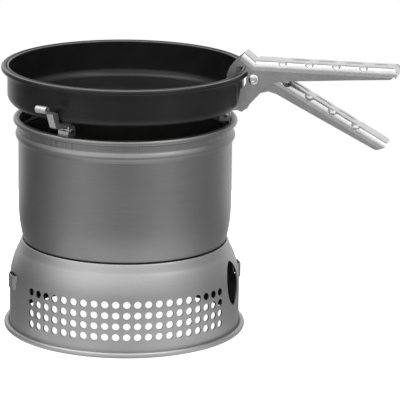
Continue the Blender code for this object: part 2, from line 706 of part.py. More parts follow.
def make_upper_lever():
    """The upper lever, a channel folded from sheet and open underneath."""
    lever = plate("grip_upper_lever", upper_lever_outline(), -GRIP_HALF_W, GRIP_HALF_W, AXIS, BRIGHT)
    inside = GRIP_HALF_W - GRIP_SHEET
    near = PAN_R - PAN_CORNER_R
    far = HANDLE_END - GRIP_SHEET
    below = PAN_Z - PAN_CORNER_R
    box = [(near, below), (near, GRIP_TOP - GRIP_SHEET), (far, GRIP_TOP - GRIP_SHEET), (far, below)]
    hollow = plate("grip_upper_hollow", box, -inside, inside, AXIS)
    bore = rods("grip_upper_bore", [cross_frame(PIVOT_S, 0.0, PIVOT_Z)], PIVOT_R + PIN_FIT,
                GRIP_HALF_W * 3.0, AXIS)
    join_or_cut(lever, "DIFFERENCE", [hollow, bore])


def lower_lever_paths():
    """The fold along the top of the lower lever, and its under side from the lever's end to the jaw."""
    inner_half_w = LEVER_HALF_W - GRIP_SHEET
    wall = math.sqrt((PAN_R - PAN_SHEET) ** 2 - inner_half_w ** 2) - PAN_INNER_FIT
    closed_face = [(wall, PAN_ROLL_Z - INNER_JAW_TOP), (wall, PAN_ROLL_Z - INNER_JAW_FOOT)]
    face = [rotated(point, (PIVOT_S, PIVOT_Z), -GRIP_CLOSE) for point in closed_face]
    tip = face[1]
    fold = [(tip[0] - JAW_HANG, tip[1] + TOUCH), (tip[0] - JAW_HANG, PIVOT_Z - JAW_CURL)]
    fold += from_pivot(LOWER_FOLD + ((LOWER_REACH, -LOWER_DROP),))
    end = [(LOWER_REACH - GRIP_SHEET, -LOWER_DROP - LOWER_END_DEPTH / 2.0),
           (LOWER_REACH - LOWER_END_DEPTH, -LOWER_DROP - LOWER_END_DEPTH + GRIP_SHEET),
           (LOWER_REACH - LOWER_END_DEPTH - GRIP_SHEET * 2.0, -LOWER_DROP - LOWER_END_DEPTH + GRIP_SHEET)]
    return fold, from_pivot(tuple(end) + LOWER_BELLY), face


def make_lower_lever():
    """The lower lever, a narrower channel whose jaw hooks over the rim into the pan."""
    fold, under, face = lower_lever_paths()
    pivot = empty("grip_pivot", (PIVOT_S, 0.0, PIVOT_Z), 0.0, AXIS)
    outline = [(s - PIVOT_S, z - PIVOT_Z) for s, z in fold + under + face]
    lever = plate("grip_lower_lever", outline, -LEVER_HALF_W, LEVER_HALF_W, pivot, BRIGHT)
    inside = LEVER_HALF_W - GRIP_SHEET
    roof = offset_path([(s - PIVOT_S, z - PIVOT_Z) for s, z in fold], GRIP_SHEET)
    roof[0] = (roof[0][0], roof[0][1] - JAW_LEN)
    below = roof[-1][1] - JAW_LEN
    hollow_outline = roof[:-1] + [(roof[-1][0] - GRIP_SHEET, roof[-1][1] + GRIP_SHEET * 0.57)]
    hollow_outline += [(roof[-1][0] - GRIP_SHEET, below), (roof[0][0], below)]
    hollow = plate("grip_lower_hollow", hollow_outline, -inside, inside, pivot)
    bore = rods("grip_lower_bore", [cross_frame()], PIVOT_R + PIN_FIT, GRIP_HALF_W * 3.0, pivot)
    join_or_cut(lever, "DIFFERENCE", [hollow, bore])


def make_grip():
    """The gripper handle: two levers and the rivet they turn on."""
    make_upper_lever()
    make_lower_lever()
    headed_pin("grip_rivet", cross_frame(PIVOT_S, 0.0, PIVOT_Z), PIVOT_R, PIVOT_HEAD_R, PIVOT_HEAD_H,
               GRIP_HALF_W + TOUCH, STEEL, AXIS)


# Spirit burner

def make_burner_cup():
    """The burner's cup, with the flange that hangs it in its seat and a neck for the screw cap."""
    floor = BURNER_FLOOR
    flange_r = BURNER_R + BURNER_FLANGE_OUT
    wall = BURNER_WALL
    profile = [(0.0, floor + wall), (BURNER_R - BURNER_CORNER_R, floor + wall),
               (BURNER_R - wall, floor + BURNER_CORNER_R), (BURNER_R - wall, BURNER_Z),
               (BURNER_NECK_R - wall, BURNER_Z + BURNER_FLANGE_H), (BURNER_NECK_R - wall, BURNER_TOP),
               (BURNER_NECK_R, BURNER_TOP), (BURNER_NECK_R, BURNER_Z + BURNER_FLANGE_H),
               (flange_r - wall, BURNER_Z + BURNER_FLANGE_H), (flange_r, BURNER_Z + BURNER_FLANGE_H - wall),
               (flange_r, BURNER_Z + wall / 2.0), (flange_r - wall / 2.0, BURNER_Z), (BURNER_R, BURNER_Z)]
    profile += arc((BURNER_R - BURNER_CORNER_R, floor + BURNER_CORNER_R), BURNER_CORNER_R, 0.0, -90.0, 3)
    profile.append((0.0, floor))
    turned("burner_cup", profile, AXIS, BRASS, closed=False, steps=BURNER_STEPS)


def make_jet_ring():
    """The inner wall of the burner and its crown, with a ring of flame jets."""
    crown = JET_CROWN_R
    path = [(WELL_R, BURNER_FLOOR + BURNER_WALL + TOUCH)]
    path += arc((WELL_R + crown, JET_TOP - crown), crown, 180.0, 90.0, 2)
    path += arc((JET_R - crown, JET_TOP - crown), crown, 90.0, 0.0, 2)
    path.append((JET_R, JET_TOP - crown - JET_SKIRT))
    ring = turned("burner_jet_ring", sheet_loop(path, JET_SHEET), AXIS, BRASS, steps=BURNER_STEPS)
    radius = JET_R - crown
    frames = []
    for i in range(JET_HOLES):
        angle = math.tau * (i + 0.5) / JET_HOLES
        frames.append(upright_frame(radius * math.cos(angle), radius * math.sin(angle), JET_TOP))
    jets = rods("jet_cutters", frames, JET_HOLE_R, JET_SHEET * 6.0, AXIS, steps=6)
    join_or_cut(ring, "DIFFERENCE", [jets])


def make_wick():
    """The felt wick between the burner's walls."""
    inner = WELL_R + JET_SHEET + TOUCH
    outer = BURNER_R - BURNER_WALL - TOUCH
    low = BURNER_FLOOR + BURNER_CORNER_R
    high = BURNER_Z - TOUCH
    edge = JET_SHEET
    profile = [(inner, high), (outer - edge, high), (outer, high - edge), (outer, low + edge),
               (outer - edge, low), (inner, low)]
    turned("burner_wick", profile, AXIS, FELT, steps=BURNER_STEPS)


# Simmer ring

def make_simmer_ring():
    """The simmer ring, with an ear for the flap's rivet and a lug for its handle."""
    edge = SIMMER_EDGE_R
    path = [(SIMMER_HOLE_R, SIMMER_TOP)]
    path += arc((SIMMER_R - edge, SIMMER_TOP - edge), edge, 90.0, 0.0, 3)
    path.append((SIMMER_R, SIMMER_TOP - SIMMER_SKIRT))
    ring = turned("simmer_ring", sheet_loop(path, SIMMER_SHEET), SIMMER, BRASS, steps=BURNER_STEPS)
    root = SIMMER_R - edge * 1.5
    ear = [(root, -FLAP_EAR_R)] + arc((FLAP_PIVOT_R, 0.0), FLAP_EAR_R, -90.0, 90.0, 6) + [(root, FLAP_EAR_R)]
    low = SIMMER_TOP - SIMMER_SHEET
    ear_plate = plate("flap_ear", ear, low + FLUSH, SIMMER_TOP - FLUSH, SIMMER, upright=False)
    lug_half = HANDLE_HALF_W + TOUCH + SIMMER_LUG_SHEET
    lug = [(root, -lug_half), (SIMMER_HINGE_R + SIMMER_LUG_R, -lug_half),
           (SIMMER_HINGE_R + SIMMER_LUG_R, lug_half), (root, lug_half)]
    lug_plate = plate("lug_plate", lug, low + FLUSH, SIMMER_TOP - FLUSH, OPPOSITE, upright=False)
    cheek = [(SIMMER_HINGE_R - SIMMER_LUG_R, low + FLUSH * 2.0)]
    cheek += arc((SIMMER_HINGE_R, SIMMER_HINGE_Z), SIMMER_LUG_R, 180.0, 0.0, 6)
    cheek.append((SIMMER_HINGE_R + SIMMER_LUG_R - FLUSH * 2.0, low + FLUSH * 2.0))
    inside = HANDLE_HALF_W + TOUCH
    outside = lug_half - FLUSH
    cheeks = [plate("lug_cheek_a", cheek, inside, outside, OPPOSITE),
              plate("lug_cheek_b", cheek, -outside, -inside, OPPOSITE)]
    join_or_cut(ring, "UNION", [ear_plate, lug_plate] + cheeks)
    rivet_hole = rods("flap_rivet_hole", [upright_frame(FLAP_PIVOT_R, 0.0, SIMMER_TOP)],
                      FLAP_RIVET_R + PIN_FIT, SIMMER_SHEET * 6.0, SIMMER)
    pin_hole = rods("simmer_pin_hole", [cross_frame(SIMMER_HINGE_R, 0.0, SIMMER_HINGE_Z)],
                    SIMMER_PIN_R + PIN_FIT, lug_half * 3.0, OPPOSITE)
    join_or_cut(ring, "DIFFERENCE", [rivet_hole, pin_hole])


def make_flap():
    """The flap that closes the simmer ring, swinging flat on its rivet."""
    radius = SIMMER_HOLE_R + FLAP_LAP
    neck = math.degrees(math.asin(FLAP_EAR_R * 0.8 / radius))
    outline = arc((0.0, 0.0), radius, neck, 360.0 - neck, 20)
    outline += arc((FLAP_PIVOT_R, 0.0), FLAP_EAR_R * 0.8, -90.0, 90.0, 6)
    outline = [(x - FLAP_PIVOT_R, y) for x, y in outline]
    low = SIMMER_TOP + TOUCH
    frame = empty("flap_pivot", (FLAP_PIVOT_R, 0.0, low), 0.0, SIMMER)
    flap = plate("simmer_flap", outline, 0.0, FLAP_SHEET, frame, BRASS, upright=False)
    hole = rods("flap_hole", [upright_frame()], FLAP_RIVET_R + PIN_FIT, FLAP_SHEET * 6.0, frame)
    join_or_cut(flap, "DIFFERENCE", [hole])
    half_span = (SIMMER_SHEET + TOUCH + FLAP_SHEET) / 2.0 + TOUCH
    middle = SIMMER_TOP - SIMMER_SHEET - TOUCH + half_span
    headed_pin("simmer_flap_rivet", upright_frame(FLAP_PIVOT_R, 0.0, middle), FLAP_RIVET_R,
               FLAP_RIVET_HEAD_R, FLAP_RIVET_HEAD_H, half_span, STEEL, SIMMER)


def make_simmer_handle():
    """The folding handle of the simmer ring, lying flat over the flap, and its pin."""
    frame = empty("simmer_handle_hinge", (SIMMER_HINGE_R, 0.0, SIMMER_HINGE_Z), 0.0, OPPOSITE)
    half = HANDLE_SHEET / 2.0
    eye_r = SIMMER_PIN_R + HANDLE_SHEET
    eye = arc((0.0, 0.0), eye_r, 165.0, -165.0, 12)
    outline = [(-HANDLE_LEN, -half), (-HANDLE_LEN, half)] + eye
    handle = plate("simmer_handle", outline, -HANDLE_HALF_W, HANDLE_HALF_W, frame, STEEL)
    hole = rods("simmer_handle_hole", [cross_frame()], SIMMER_PIN_R + PIN_FIT, HANDLE_HALF_W * 4.0, frame)
    finger_hole = rods("finger_hole", [upright_frame(-HANDLE_LEN + HANDLE_HALF_W, 0.0, 0.0)],
                       HANDLE_HALF_W * 0.45, HANDLE_SHEET * 6.0, frame)
    join_or_cut(handle, "DIFFERENCE", [hole, finger_hole])
    span = (HANDLE_HALF_W + TOUCH + SIMMER_LUG_SHEET) * 2.0
    rods("simmer_handle_pin", [cross_frame(SIMMER_HINGE_R, 0.0, SIMMER_HINGE_Z)], SIMMER_PIN_R, span,
         OPPOSITE, STEEL)


clear_scene()
PARTS = new_collection("storm_cooker")
CUTTERS = new_collection("cutters")
ALUMINIUM = metal("spun_aluminium", (0.42, 0.42, 0.42), 0.42, 1.0)
BRIGHT = metal("bright_aluminium", (0.72, 0.72, 0.73), 0.32, 1.0)
NONSTICK = metal("nonstick_coating", (0.03, 0.03, 0.03), 0.55, 0.0)
STEEL = metal("rivet_steel", (0.78, 0.78, 0.78), 0.25, 1.0)
BRASS = metal("burner_brass", (0.71, 0.53, 0.24), 0.35, 1.0)
FELT = metal("wick_felt", (0.62, 0.58, 0.50), 0.95, 0.0)
AXIS = empty("cooker_axis", (AXIS_X, AXIS_Y, 0.0))
SIMMER = station("simmer_station", SIMMER_ANGLE)
OPPOSITE = station("simmer_opposite", SIMMER_ANGLE + math.pi)
make_base()
make_shield()
make_supports()
make_pan()
make_grip()
make_burner_cup()
make_jet_ring()
make_wick()
make_simmer_ring()
make_flap()
make_simmer_handle()
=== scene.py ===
import math

import bmesh
import bpy
import numpy as np
from mathutils import Matrix, Vector


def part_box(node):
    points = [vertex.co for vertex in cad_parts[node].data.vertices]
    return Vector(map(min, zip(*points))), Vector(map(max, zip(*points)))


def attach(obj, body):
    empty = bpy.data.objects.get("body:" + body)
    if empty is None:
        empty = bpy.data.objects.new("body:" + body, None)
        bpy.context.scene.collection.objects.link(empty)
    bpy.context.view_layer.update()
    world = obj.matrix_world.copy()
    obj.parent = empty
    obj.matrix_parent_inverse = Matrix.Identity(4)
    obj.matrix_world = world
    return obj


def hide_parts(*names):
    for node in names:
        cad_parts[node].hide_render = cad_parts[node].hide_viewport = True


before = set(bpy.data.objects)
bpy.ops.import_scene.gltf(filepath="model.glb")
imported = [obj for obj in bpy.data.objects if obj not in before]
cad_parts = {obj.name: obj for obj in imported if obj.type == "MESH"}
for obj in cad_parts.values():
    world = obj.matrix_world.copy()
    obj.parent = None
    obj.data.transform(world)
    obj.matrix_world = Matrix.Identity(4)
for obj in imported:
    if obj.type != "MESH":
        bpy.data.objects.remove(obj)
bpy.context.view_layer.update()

# The storm cooker. Pieces are drawn in millimetres about its upright axis, and ride on the frame's bodies

LOW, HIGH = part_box("windshield_shell")
AX, AY = (LOW.x + HIGH.x) / 2, (LOW.y + HIGH.y) / 2
MM = 0.001

# Sizes in millimetres and angles in degrees
WALL_T, BRACKET_T, PAN_T, LEVER_T = 1.0, 1.1, 1.2, 1.2
BASE_R, LIP_R, LIP_HALF, FOOT_ROLL_R = 88.0, 78.105, 0.8, 2.2
SEAT_Z, RECESS_Z, SEAT_HOLE_R = 60.0, 65.2, 34.0
SHOULDER_Z, SHOULDER_IN, SHOULDER_UP, SHOULDER_TURN = 34.0, 23.246, 39.83, 45.0
VENT_COLUMNS, VENT_ROWS, VENT_R = 21, 4, 2.8
VENT_ANGLE, VENT_TURN, VENT_TOP, VENT_DROP = -75.3, 5.37, 40.0, 8.3
WINDOW_ANGLE, WINDOW_Z, WINDOW_HALF_W, WINDOW_HALF_H, WINDOW_POINT = -5.8, 40.6, 12.5, 17.0, 1.25
BRIDGES = (-151.0, 23.6)
BRIDGE_LOW, BRIDGE_HIGH, BRIDGE_HALF, BRIDGE_R = 34.5, 45.5, 8.5, 90.3
AIR_HOLES, AIR_HOLE_R, AIR_RING_R = 12, 4.5, 54.2
SHIELD_R, NECK_R, RIM_R, RIM_Z, RIM_ROLL_R = 81.0, 81.6, 82.4, 161.6, 2.4
BEAD_TOP, BEAD_H, BEAD_OUT = 154.4, 8.3, 1.9
PAN_R, PAN_Z, PAN_CORNER_R = 89.2, 174.0, 8.0
SUPPORTS = (-111.5, 10.5, 128.5)
HINGE_R, HINGE_Z, HINGE_BORE, HINGE_PIN_R = 75.868, 167.0, 1.45, 1.2
PIVOT = (100.4, 199.8)
UPPER_HALF, LOWER_HALF = 11.5, 10.0
GRIP_TOP, GRIP_END, DENT_R = 213.9, 207.0, 3.7
SIMMER_ANGLE, EAR_R, EAR_SPAN = 8.5, 40.6, 4.5
HANDLE_Z, HANDLE_BORE = 81.6, 1.25


# Outlines, in millimetres from the cooker's axis

def arc(cx, cz, r, start, end, steps):
    """Points on an arc, angles in degrees."""
    return [(cx + r * math.cos(math.radians(start + (end - start) * i / steps)),
             cz + r * math.sin(math.radians(start + (end - start) * i / steps))) for i in range(steps + 1)]


def fillet(path, radius, steps=5, closed=False):
    """The path with its corners rounded."""
    nearly_straight, side_share = math.radians(88), 0.45
    out = []
    n = len(path)
    for i, p in enumerate(path):
        if not closed and i in (0, n - 1):
            out.append(p)
            continue
        a, b = np.array(path[i - 1]), np.array(path[(i + 1) % n])
        p = np.array(p)
        u, v = a - p, b - p
        lu, lv = np.linalg.norm(u), np.linalg.norm(v)
        u, v = u / lu, v / lv
        half = math.acos(max(-1.0, min(1.0, float(u @ v)))) / 2
        if half > nearly_straight:
            out.append(tuple(p))
            continue
        reach = min(radius / math.tan(half), lu * side_share, lv * side_share)
        r = reach * math.tan(half)
        centre = p + (u + v) / np.linalg.norm(u + v) * (r / math.sin(half))
        s, e = p + u * reach - centre, p + v * reach - centre
        a0 = math.atan2(s[1], s[0])
        turn = (math.atan2(e[1], e[0]) - a0 + math.pi) % math.tau - math.pi
        out += [(centre[0] + r * math.cos(a0 + turn * k / steps),
                 centre[1] + r * math.sin(a0 + turn * k / steps)) for k in range(steps + 1)]
    return out


def offset(path, distance):
    """The path moved to its right by a distance, with mitred corners."""
    normals = []
    for a, b in zip(path, path[1:]):
        length = math.hypot(b[0] - a[0], b[1] - a[1])
        normals.append(((b[1] - a[1]) / length, (a[0] - b[0]) / length))
    out = []
    for i, p in enumerate(path):
        m, n = normals[max(i - 1, 0)], normals[min(i, len(normals) - 1)]
        k = distance / (1 + m[0] * n[0] + m[1] * n[1])
        out.append((p[0] + (m[0] + n[0]) * k, p[1] + (m[1] + n[1]) * k))
    return out


def sheet(path, thickness):
    """A closed loop round a sheet whose outer face follows the path."""
    return path + offset(path, thickness)[::-1]


# Meshes

DOME = ((1.0, 0.0), (0.85, 0.4), (0.5, 0.82), (0.0, 1.0))
EDGE_SHARE, EDGE_MOST = 0.3, 0.35
WELD, DEGENERATE = 0.004, 1e-7
ROUND = 288
BEVEL_ANGLE = 40


def lathe(profile, steps, closed=True):
    """Vertices and faces of a form turned about the axis."""
    n = len(profile)
    turn = np.linspace(0, math.tau, steps, endpoint=False)
    verts = [(r * math.cos(t), r * math.sin(t), z) for t in turn for r, z in profile]
    faces = []
    for i in range(steps):
        j = (i + 1) % steps
        for k in range(n if closed else n - 1):
            m = (k + 1) % n
            faces.append((i * n + k, j * n + k, j * n + m, i * n + m))
    return verts, faces


def slab(outline, low, high, upright=True):
    """Vertices and faces of an outline in XZ with a thickness along Y, or in XY with a thickness along Z."""
    n = len(outline)
    if upright:
        verts = [(x, low, z) for x, z in outline] + [(x, high, z) for x, z in outline]
    else:
        verts = [(x, y, low) for x, y in outline] + [(x, y, high) for x, y in outline]
    faces = [tuple(range(n)), tuple(range(2 * n - 1, n - 1, -1))]
    faces += [(i, i + n, (i + 1) % n + n, (i + 1) % n) for i in range(n)]
    return verts, faces


def rod(matrix, radius, length, steps, dome=0.0):
    """Vertices and faces of a cylinder along the Z of its frame, with its ends rounded off."""
    half = length / 2
    if dome:
        end = [(radius * share, half + dome * rise) for share, rise in DOME]
    else:
        edge = min(radius * EDGE_SHARE, length * EDGE_SHARE, EDGE_MOST)
        end = [(radius, half - edge), (radius - edge * EDGE_SHARE, half - edge * EDGE_SHARE),
               (radius - edge, half), (0, half)]
    profile = [(r, -z) for r, z in end[::-1]] + end
    return moved(lathe(profile, steps, closed=False), matrix)


def moved(data, matrix):
    """The same mesh in another frame."""
    return [tuple(matrix @ Vector(v)) for v in data[0]], data[1]


def merged(*parts):
    """Several meshes as one."""
    verts, faces = [], []
    for v, f in parts:
        base = len(verts)
        verts += v
        faces += [tuple(i + base for i in face) for face in f]
    return verts, faces


def place(angle, radius=0.0, z=0.0):
    """A frame round the axis with its X outwards."""
    a = math.radians(angle)
    return Matrix.Translation((radius * math.cos(a), radius * math.sin(a), z)) @ Matrix.Rotation(a, 4, "Z")


def across(x=0.0, y=0.0, z=0.0):
    """A frame whose Z runs along the local Y."""
    return Matrix.Translation((x, y, z)) @ Matrix.Rotation(math.pi / 2, 4, "X")


def to_mesh(name, data):
    """A Blender mesh from millimetres, welded and with its faces turned out."""
    mesh = bpy.data.meshes.new(name)
    mesh.from_pydata([(AX + x * MM, AY + y * MM, z * MM) for x, y, z in data[0]], [], data[1])
    shape = bmesh.new()
    shape.from_mesh(mesh)
    bmesh.ops.remove_doubles(shape, verts=shape.verts, dist=WELD * MM)
    bmesh.ops.dissolve_degenerate(shape, edges=shape.edges, dist=DEGENERATE)
    bmesh.ops.recalc_face_normals(shape, faces=shape.faces)
    bmesh.ops.triangulate(shape, faces=[f for f in shape.faces if len(f.verts) > 4])
    shape.to_mesh(mesh)
    shape.free()
    return mesh


def piece(name, data, body, material, nodes=(), angle=35, bevel=0.0, cuts=(), thick=0.0):
    """A dressed piece that rides on a body and stands for CAD nodes. Edges over the angle stay sharp."""
    mesh = data if isinstance(data, bpy.types.Mesh) else to_mesh(name, data)
    thing = bpy.data.objects.new(name, mesh)
    bpy.context.scene.collection.objects.link(thing)
    tools = []
    for i, (kind, tool) in enumerate(cuts):
        cutter = bpy.data.objects.new(f"{name}_cut_{i}", to_mesh(f"{name}_cut_{i}", tool))
        bpy.context.scene.collection.objects.link(cutter)
        boolean = thing.modifiers.new(f"cut_{i}", "BOOLEAN")
        boolean.operation = kind
        boolean.object = cutter
        boolean.solver = "EXACT"
        tools.append(cutter)
    if thick:
        solid = thing.modifiers.new("sheet", "SOLIDIFY")
        solid.thickness = thick * MM
        solid.offset = -1.0
        solid.use_even_offset = True
    if tools or thick:
        bpy.context.view_layer.update()
        graph = bpy.context.evaluated_depsgraph_get()
        mesh = bpy.data.meshes.new_from_object(thing.evaluated_get(graph))
        mesh.name = name
        thing.modifiers.clear()
        thing.data = mesh
        for tool in tools:
            bpy.data.objects.remove(tool, do_unlink=True)
    mesh.shade_smooth()
    mesh.set_sharp_from_angle(angle=math.radians(angle))
    if bevel:
        soft = thing.modifiers.new("edges", "BEVEL")
        soft.width = bevel * MM
        soft.segments = 2
        soft.limit_method = "ANGLE"
        soft.angle_limit = math.radians(BEVEL_ANGLE)
        soft.harden_normals = True
    mesh.materials.clear()
    mesh.materials.append(material)
    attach(thing, body)
    if nodes:
        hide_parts(*nodes)


# Materials, in metres. A highlight crest has its radius and how bright its painted highlight is

STREAKS = (0.1540, 0.1597)
HIGHLIGHT_CRESTS, HIGHLIGHT_CREST_Z = ((0.0885, 0.55), (0.0926, 0.75)), (0.2022, 0.2030)
RING_SLOPE = 0.83
WHITE = (1.0, 1.0, 1.0, 1.0)


class Graph:
    """A short way to write a node tree."""

    def __init__(self, tree):
        self.tree = tree

    def add(self, kind, inputs=None, **settings):
        node = self.tree.nodes.new(kind)
        for key, value in settings.items():
            setattr(node, key, value)
        for key, value in (inputs or {}).items():
            if isinstance(value, bpy.types.NodeSocket):
                self.tree.links.new(value, node.inputs[key])
            else:
                node.inputs[key].default_value = value
        return node

    def math(self, operation, a, b=0.0):
        return self.add("ShaderNodeMath", {0: a, 1: b}, operation=operation).outputs[0]

    def noise(self, vector, scale, detail, rough):
        return self.add("ShaderNodeTexNoise", {"Vector": vector, "Scale": scale, "Detail": detail,
                                               "Roughness": rough}).outputs[0]

    def ramp(self, value, low, high, to_low, to_high):
        return self.add("ShaderNodeMapRange", {0: value, 1: low, 2: high, 3: to_low, 4: to_high},
                        interpolation_type="SMOOTHSTEP").outputs[0]

    def blend(self, factor, a, b):
        return self.add("ShaderNodeMix", {0: factor, 2: a, 3: b}).outputs[0]

    def mix(self, factor, a, b):
        a, b = [(*colour, 1.0) if isinstance(colour, tuple) else colour for colour in (a, b)]
        return self.add("ShaderNodeMix", {0: factor, 6: a, 7: b}, data_type="RGBA").outputs[2]

    def bump(self, height, distance, strength, normal=None):
        inputs = {"Height": height, "Distance": distance, "Strength": strength}
        if normal is not None:
            inputs["Normal"] = normal
        return self.add("ShaderNodeBump", inputs).outputs[0]


class Surface(Graph):
    """A node material."""

    def __init__(self, name):
        self.material = bpy.data.materials.new(name)
        self.material.use_nodes = True
        super().__init__(self.material.node_tree)
        self.shader = self.tree.nodes["Principled BSDF"]

    def set(self, **values):
        for key, value in values.items():
            socket = self.shader.inputs[key.replace("_", " ")]
            if isinstance(value, bpy.types.NodeSocket):
                self.tree.links.new(value, socket)
            else:
                socket.default_value = value
        return self.material


def scaled(colour, share):
    """A lighter or darker colour, held to white at most."""
    return tuple(min(1.0, c * share) for c in colour)


def turned_coords(m, around, along):
    """Coordinates for rings round the axis, then the position, the height, the radius and the angle."""
    position = m.add("ShaderNodeTexCoord").outputs["Object"]
    centred = m.add("ShaderNodeVectorMath", {0: position, 1: (AX, AY, 0.0)}, operation="SUBTRACT").outputs[0]
    x, y, z = m.add("ShaderNodeSeparateXYZ", {0: centred}).outputs
    angle = m.math("ARCTAN2", y, x)
    radius = m.math("SQRT", m.math("ADD", m.math("MULTIPLY", x, x), m.math("MULTIPLY", y, y)))
    unit_x = m.math("MULTIPLY", m.math("COSINE", angle), around)
    unit_y = m.math("MULTIPLY", m.math("SINE", angle), around)
    height = m.math("MULTIPLY", m.math("ADD", z, m.math("MULTIPLY", radius, RING_SLOPE)), along)
    coords = m.add("ShaderNodeCombineXYZ", {0: unit_x, 1: unit_y, 2: height}).outputs[0]
    return coords, position, z, radius, angle


def spun_metal(name, colour, rough, streaks=None):
    """Spun aluminium with a dull oxide finish: fine rings round the axis and a grainy tone."""
    m = Surface(name)
    coords, position, z, _, angle = turned_coords(m, 2.2, 900.0)
    rings = m.noise(coords, scale=1.0, detail=3.0, rough=0.6)
    grain = m.noise(position, scale=2600.0, detail=2.0, rough=0.6)
    cloud = m.noise(position, scale=22.0, detail=3.0, rough=0.5)
    tone = m.math("ADD", m.math("MULTIPLY", rings, 0.30), m.math("MULTIPLY", grain, 0.70))
    blend = m.math("ADD", m.math("MULTIPLY", tone, 0.75), m.math("MULTIPLY", cloud, 0.25))
    base = m.mix(m.ramp(blend, 0.25, 0.75, 0.0, 1.0), scaled(colour, 0.88), scaled(colour, 1.12))
    normal = m.bump(rings, distance=0.00004, strength=0.35)
    normal = m.bump(grain, distance=0.00003, strength=0.25, normal=normal)
    if streaks:
        low, high = streaks
        fade = 0.0012
        flat = m.add("ShaderNodeCombineXYZ", {0: m.math("MULTIPLY", angle, 42.0),
                                              1: m.math("MULTIPLY", z, 60.0), 2: 0.0}).outputs[0]
        bands = m.noise(flat, scale=1.0, detail=2.0, rough=0.5)
        inside = m.math("MULTIPLY", m.ramp(z, low, low + fade, 0.0, 1.0),
                        m.ramp(z, high - fade, high, 1.0, 0.0))
        normal = m.bump(m.math("MULTIPLY", bands, inside), distance=0.0011, strength=0.6, normal=normal)
    roughness = m.ramp(grain, 0.2, 0.8, rough - 0.05, rough + 0.05)
    return m.set(Base_Color=base, Metallic=1.0, Roughness=roughness, Anisotropic=0.25, Normal=normal)


def pressed_metal(name, colour, rough, grain_scale=900.0):
    """Pressed bright aluminium with a tumbled, slightly mottled face."""
    m = Surface(name)
    position = m.add("ShaderNodeTexCoord").outputs["Object"]
    mottle = m.noise(position, scale=grain_scale, detail=3.0, rough=0.6)
    patches = m.noise(position, scale=130.0, detail=3.0, rough=0.55)
    blend = m.math("ADD", m.math("MULTIPLY", mottle, 0.55), m.math("MULTIPLY", patches, 0.45))
    base = m.mix(m.ramp(blend, 0.3, 0.7, 0.0, 1.0), scaled(colour, 0.86), scaled(colour, 1.08))
    normal = m.bump(mottle, distance=0.00005, strength=0.3)
    normal = m.bump(patches, distance=0.0002, strength=0.08, normal=normal)
    roughness = m.ramp(mottle, 0.2, 0.8, rough - 0.07, rough + 0.07)
    return m.set(Base_Color=base, Metallic=1.0, Roughness=roughness, Normal=normal)


def coating(name):
    """Matt black non-stick coating with fine light specks, and painted highlight lines on the crests of the
    rim.
    """
    m = Surface(name)
    coords, position, z, radius, _ = turned_coords(m, 2.0, 700.0)
    specks = m.add("ShaderNodeTexVoronoi", {"Vector": position, "Scale": 1400.0}).outputs["Distance"]
    patch = m.noise(position, scale=3000.0, detail=2.0, rough=0.7)
    cloud = m.noise(position, scale=60.0, detail=3.0, rough=0.5)
    rings = m.noise(coords, scale=1.0, detail=2.0, rough=0.5)
    speck = m.math("MULTIPLY", m.ramp(specks, 0.10, 0.26, 1.0, 0.0), m.ramp(patch, 0.5, 0.62, 0.0, 1.0))
    dark = m.mix(m.ramp(cloud, 0.3, 0.7, 0.0, 1.0), (0.0045, 0.0045, 0.0048), (0.0075, 0.0075, 0.0078))
    base = m.mix(m.math("MULTIPLY", speck, 0.5), dark, (0.12, 0.12, 0.12))
    # Paler lines on the rim's crests: painted highlights
    painted_highlight = []
    for crest, highlight_share in HIGHLIGHT_CRESTS:
        away = m.math("ABSOLUTE", m.math("SUBTRACT", radius, crest))
        near = m.ramp(away, 0.0002, 0.0007, 1.0, 0.0)
        painted_highlight.append(m.math("MULTIPLY", near, m.ramp(z, *HIGHLIGHT_CREST_Z, 0.0, highlight_share)))
    base = m.mix(m.math("ADD", *painted_highlight), base, (0.20, 0.20, 0.20))
    normal = m.bump(patch, distance=0.00005, strength=0.4)
    normal = m.bump(rings, distance=0.00004, strength=0.3, normal=normal)
    roughness = m.ramp(patch, 0.25, 0.75, 0.28, 0.38)
    return m.set(Base_Color=base, Metallic=0.0, Roughness=roughness, IOR=1.42, Normal=normal)


def brass(name, colour, rough):
    """Satin brass, slightly darkened in patches by heat."""
    m = Surface(name)
    coords, position = turned_coords(m, 2.0, 1100.0)[:2]
    rings = m.noise(coords, scale=1.0, detail=3.0, rough=0.6)
    stain = m.noise(position, scale=70.0, detail=4.0, rough=0.6)
    base = m.mix(m.ramp(stain, 0.35, 0.75, 0.0, 1.0), colour, scaled(colour, 0.62))
    base = m.mix(m.ramp(rings, 0.3, 0.7, 0.0, 0.22), base, scaled(colour, 1.25))
    roughness = m.ramp(stain, 0.3, 0.8, rough, rough + 0.15)
    return m.set(Base_Color=base, Metallic=1.0, Roughness=roughness,
                 Normal=m.bump(rings, distance=0.00004, strength=0.4))


def felt(name):
    """Wick felt of matted fibres."""
    m = Surface(name)
    position = m.add("ShaderNodeTexCoord").outputs["Object"]
    flat = m.add("ShaderNodeVectorMath", {0: position, 1: (1.0, 1.0, 3.0)}, operation="MULTIPLY").outputs[0]
    fibres = m.noise(flat, scale=900.0, detail=5.0, rough=0.7)
    base = m.mix(m.ramp(fibres, 0.3, 0.7, 0.0, 1.0), (0.34, 0.30, 0.24), (0.62, 0.58, 0.50))
    return m.set(Base_Color=base, Roughness=0.95, Sheen_Weight=0.3,
                 Normal=m.bump(fibres, distance=0.0003, strength=0.8))


